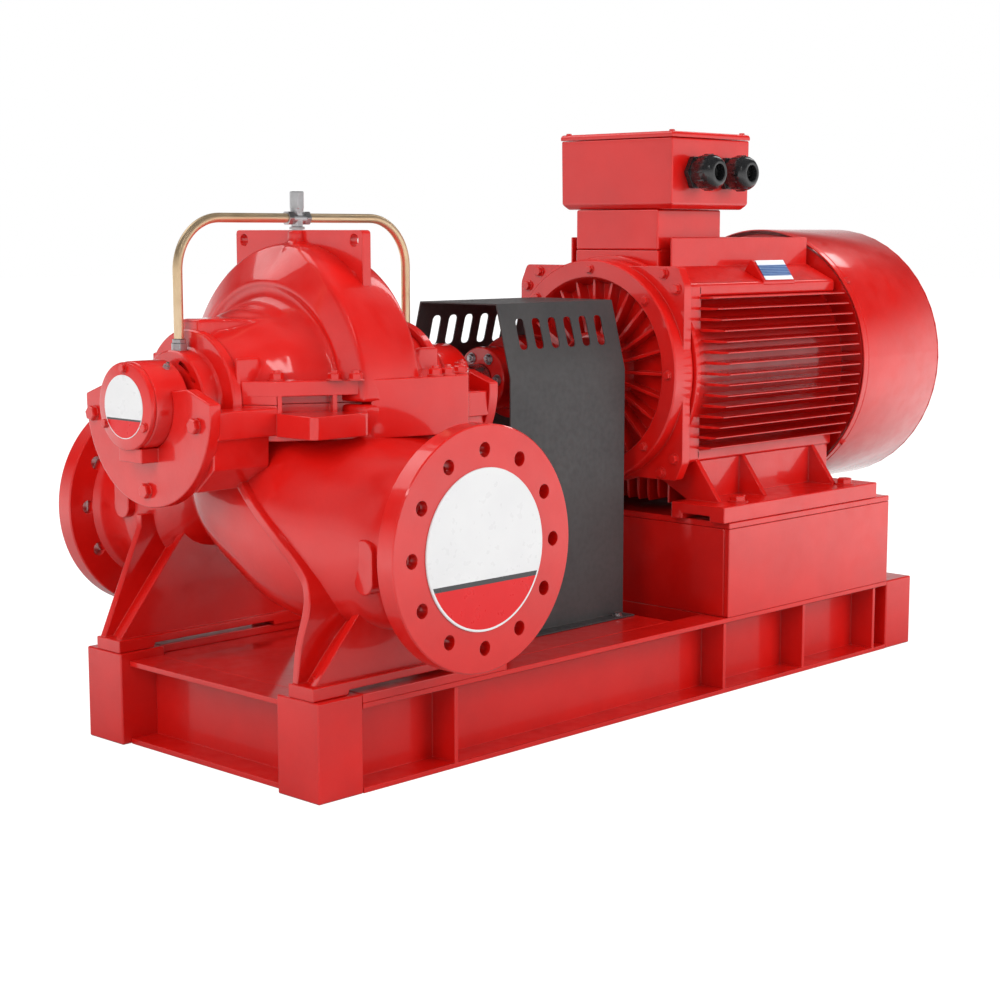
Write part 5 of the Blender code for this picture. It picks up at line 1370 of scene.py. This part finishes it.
def rating_plate():
    pad = [(-0.196, 0.772), (-0.2045, 0.782), (-0.2042, 0.7885), (-0.1758, 0.8275), (-0.168, 0.829), (-0.150, 0.800)]
    item = broken(solid(prism(bmesh.new(), pad, 1.283, 1.390, "YZ"), "rating_plate_pad"), 0.002)
    fitted(item, CAST)
    face = [(-0.2036, 0.7905), (-0.2046, 0.7898), (-0.2054, 0.7902), (-0.1773, 0.8288), (-0.1765, 0.8286)]
    item = solid(prism(bmesh.new(), face, 1.289, 1.384, "YZ"), "rating_plate_sheet")
    fitted(rounded_at(item), RATING)


def screws(name, points, finish, head, height, washer=1.25, body=FIXED, thread=0.0):
    places = [(place, direction, turn, (1.0, 1.0, 1.0)) for place, direction, turn in points]
    sizes = {"Head Radius": head, "Head Height": height, "Washer Radius": head * washer,
             "Washer Height": height * 0.16, "Thread Radius": head * 0.5, "Thread Height": max(thread, height * 0.9)}
    fitted(spread(FASTENERS, name, places, finish, sizes), finish, (), body)


def all_fasteners():
    for end, name in ((-1, "outboard"), (1, "inboard")):
        face = PUMP_X + end * 0.319
        points = [((face, y, z), (end, 0, 0), 0.3) for y, z in ((0.142, 0.591), (-0.130, 0.588), (0.0, 0.475))]
        screws("bracket_bolts_" + name, points, CAST, 0.0125, 0.011, 1.0)
    face = PUMP_X - 0.3593
    points = []
    for angle in (90, 210, 330):
        turn = math.radians(angle)
        points.append(((face, 0.0605 * math.cos(turn), SHAFT_Z + 0.0605 * math.sin(turn)), (-1, 0, 0), 0.2))
    screws("bearing_cover_screws", points, CAST, 0.0072, 0.0065, 1.0)
    nuts = []
    for x, y in ((0.069, 0.140), (0.133, 0.206), (0.158, 0.230), (0.318, 0.247), (0.344, 0.250), (0.392, 0.232),
                 (0.452, 0.172)):
        nuts += [((x, side * y, 0.651), (0, 0, 1), 0.4) for side in (-1, 1)]
    screws("split_flange_nuts", nuts, CAST, 0.0112, 0.0125, 1.2, thread=0.0165)
    points = [((x, side * 0.268, FOOT_TOP), (0, 0, 1), 0.2) for x in (0.037, 0.383) for side in (-1, 1)]
    screws("pump_foot_bolts", points, CAST, 0.0115, 0.010)
    points = [((x, side * 0.275, 0.3643), (0, 0, 1), 0.5) for x in (1.113, 1.482) for side in (-1, 1)]
    screws("motor_foot_bolts", points, CAST, 0.0165, 0.0125)
    points = [((1.015, y_side * y, SHAFT_Z + z_side * z), (-1, 0, 0), 0.3) for y, z in ((0.1945, 0.164), (0.1625, 0.193))
              for y_side in (-1, 1) for z_side in (-1, 1)]
    screws("corner_plate_bolts", points, CAST, 0.0095, 0.009)
    points = []
    for index in range(8):
        turn = math.pi * index / 4
        points.append(((0.985, 0.200 * math.cos(turn), SHAFT_Z + 0.200 * math.sin(turn)), (-1, 0, 0), turn))
    screws("shield_ring_screws", points, CAST, 0.0080, 0.0065)
    points = []
    for angle in (52, 128, 232, 308):
        turn = math.radians(angle)
        out = (0.0, -math.sin(turn), math.cos(turn))
        points.append(((1.556, out[1] * 0.2778, SHAFT_Z + out[2] * 0.2778), out, 0.0))
    screws("fan_cover_screws", points, PLATE, 0.0068, 0.0045)
    points = [((x, side * 0.134, 1.0796), (0, 0, 1), 0.3) for x in (1.071, 1.295) for side in (-1, 1)]
    screws("terminal_lid_screws", points, CAST, 0.0055, 0.0036, 1.2)
    points = [((x, side * 0.151, 0.1503), (0, 0, 1), 0.2) for x in (0.650, 0.900) for side in (-1, 1)]
    screws("guard_foot_bolts", points, FITTING, 0.0080, 0.0065, 1.35)
    points = [((PUMP_X - 0.305, -0.0370, SHAFT_Z + 0.0600), (0.0, -0.525, 0.851), 0.0)]
    screws("grease_nipple", points, FITTING, 0.0058, 0.0055, 1.0, thread=0.010)


set_studio()
CAST = red_paint("red_cast_paint", 0.16, 110.0, 0.07)
PLATE = red_paint("red_plate_paint", 0.06, 220.0, 0.09)
CHARCOAL = charcoal_paint()
TUBE = tube_metal()
FITTING = plain_metal("plated_fitting", (0.62, 0.62, 0.63), (0.54, 0.54, 0.55), 0.40, 0.52)
STEEL = plain_metal("turned_steel", (0.50, 0.50, 0.52), (0.42, 0.42, 0.44), 0.22, 0.36)
GLAND_BLACK = black_moulding("gland_moulding", 0.5)
FAN_BLACK = black_moulding("fan_moulding", 0.1)
COVER = banded_white("cover_print", (at(PUMP_X), NOZZLE_Z), 0.130, "X")
DISC = banded_white("disc_print", (0.003, SHAFT_Z - 0.001), 0.051, "Y")
RATING = lined_plate("rating_plate_print", 0.7902, 0.8288)
FASTENERS = fastener_tree()
BLADES = blade_tree()
GRIPS = grip_tree()

casing_top()
casing_bottom()
lifting_plate()
split_flange()
box_disc(-1, "stuffing_box_outboard")
box_disc(1, "stuffing_box_inboard")
nozzle_flange(-1, "discharge_flange")
nozzle_flange(1, "suction_flange")
nozzle_cover(-1, "discharge_cover_disc", COVER)
nozzle_cover(1, "suction_cover_disc", COVER)
bearing_bracket(-1, "bearing_bracket_outboard")
bearing_bracket(1, "bearing_bracket_inboard")
bearing_housing(-1, "outboard_bearing_housing_drum")
bearing_housing(1, "inboard_bearing_housing_drum")
bearing_cover()
vent_fittings()
flush_pipe(-1, "flush_pipe_outboard_tube")
flush_pipe(1, "flush_pipe_inboard_tube")
coupling_guard()
drive_line()
motor_drum()
motor_fins()
motor_corners()
motor_feet()
motor_neck()
terminal_box()
cable_gland(1.131, "cable_gland_left")
cable_gland(1.235, "cable_gland_right")
drive_end_shield()
fan_cover()
rating_plate()
all_fasteners()

for name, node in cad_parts.items():
    node.data.materials.clear()
    node.data.materials.append(PLATE)
    if not node.hide_render:
        weld = node.modifiers.new("weld", "WELD")
        weld.merge_threshold = 0.00002
        edges = node.modifiers.new("edges", "BEVEL")
        edges.width = 0.0016
        edges.segments = 2
        edges.limit_method = "ANGLE"
        edges.angle_limit = math.radians(30)
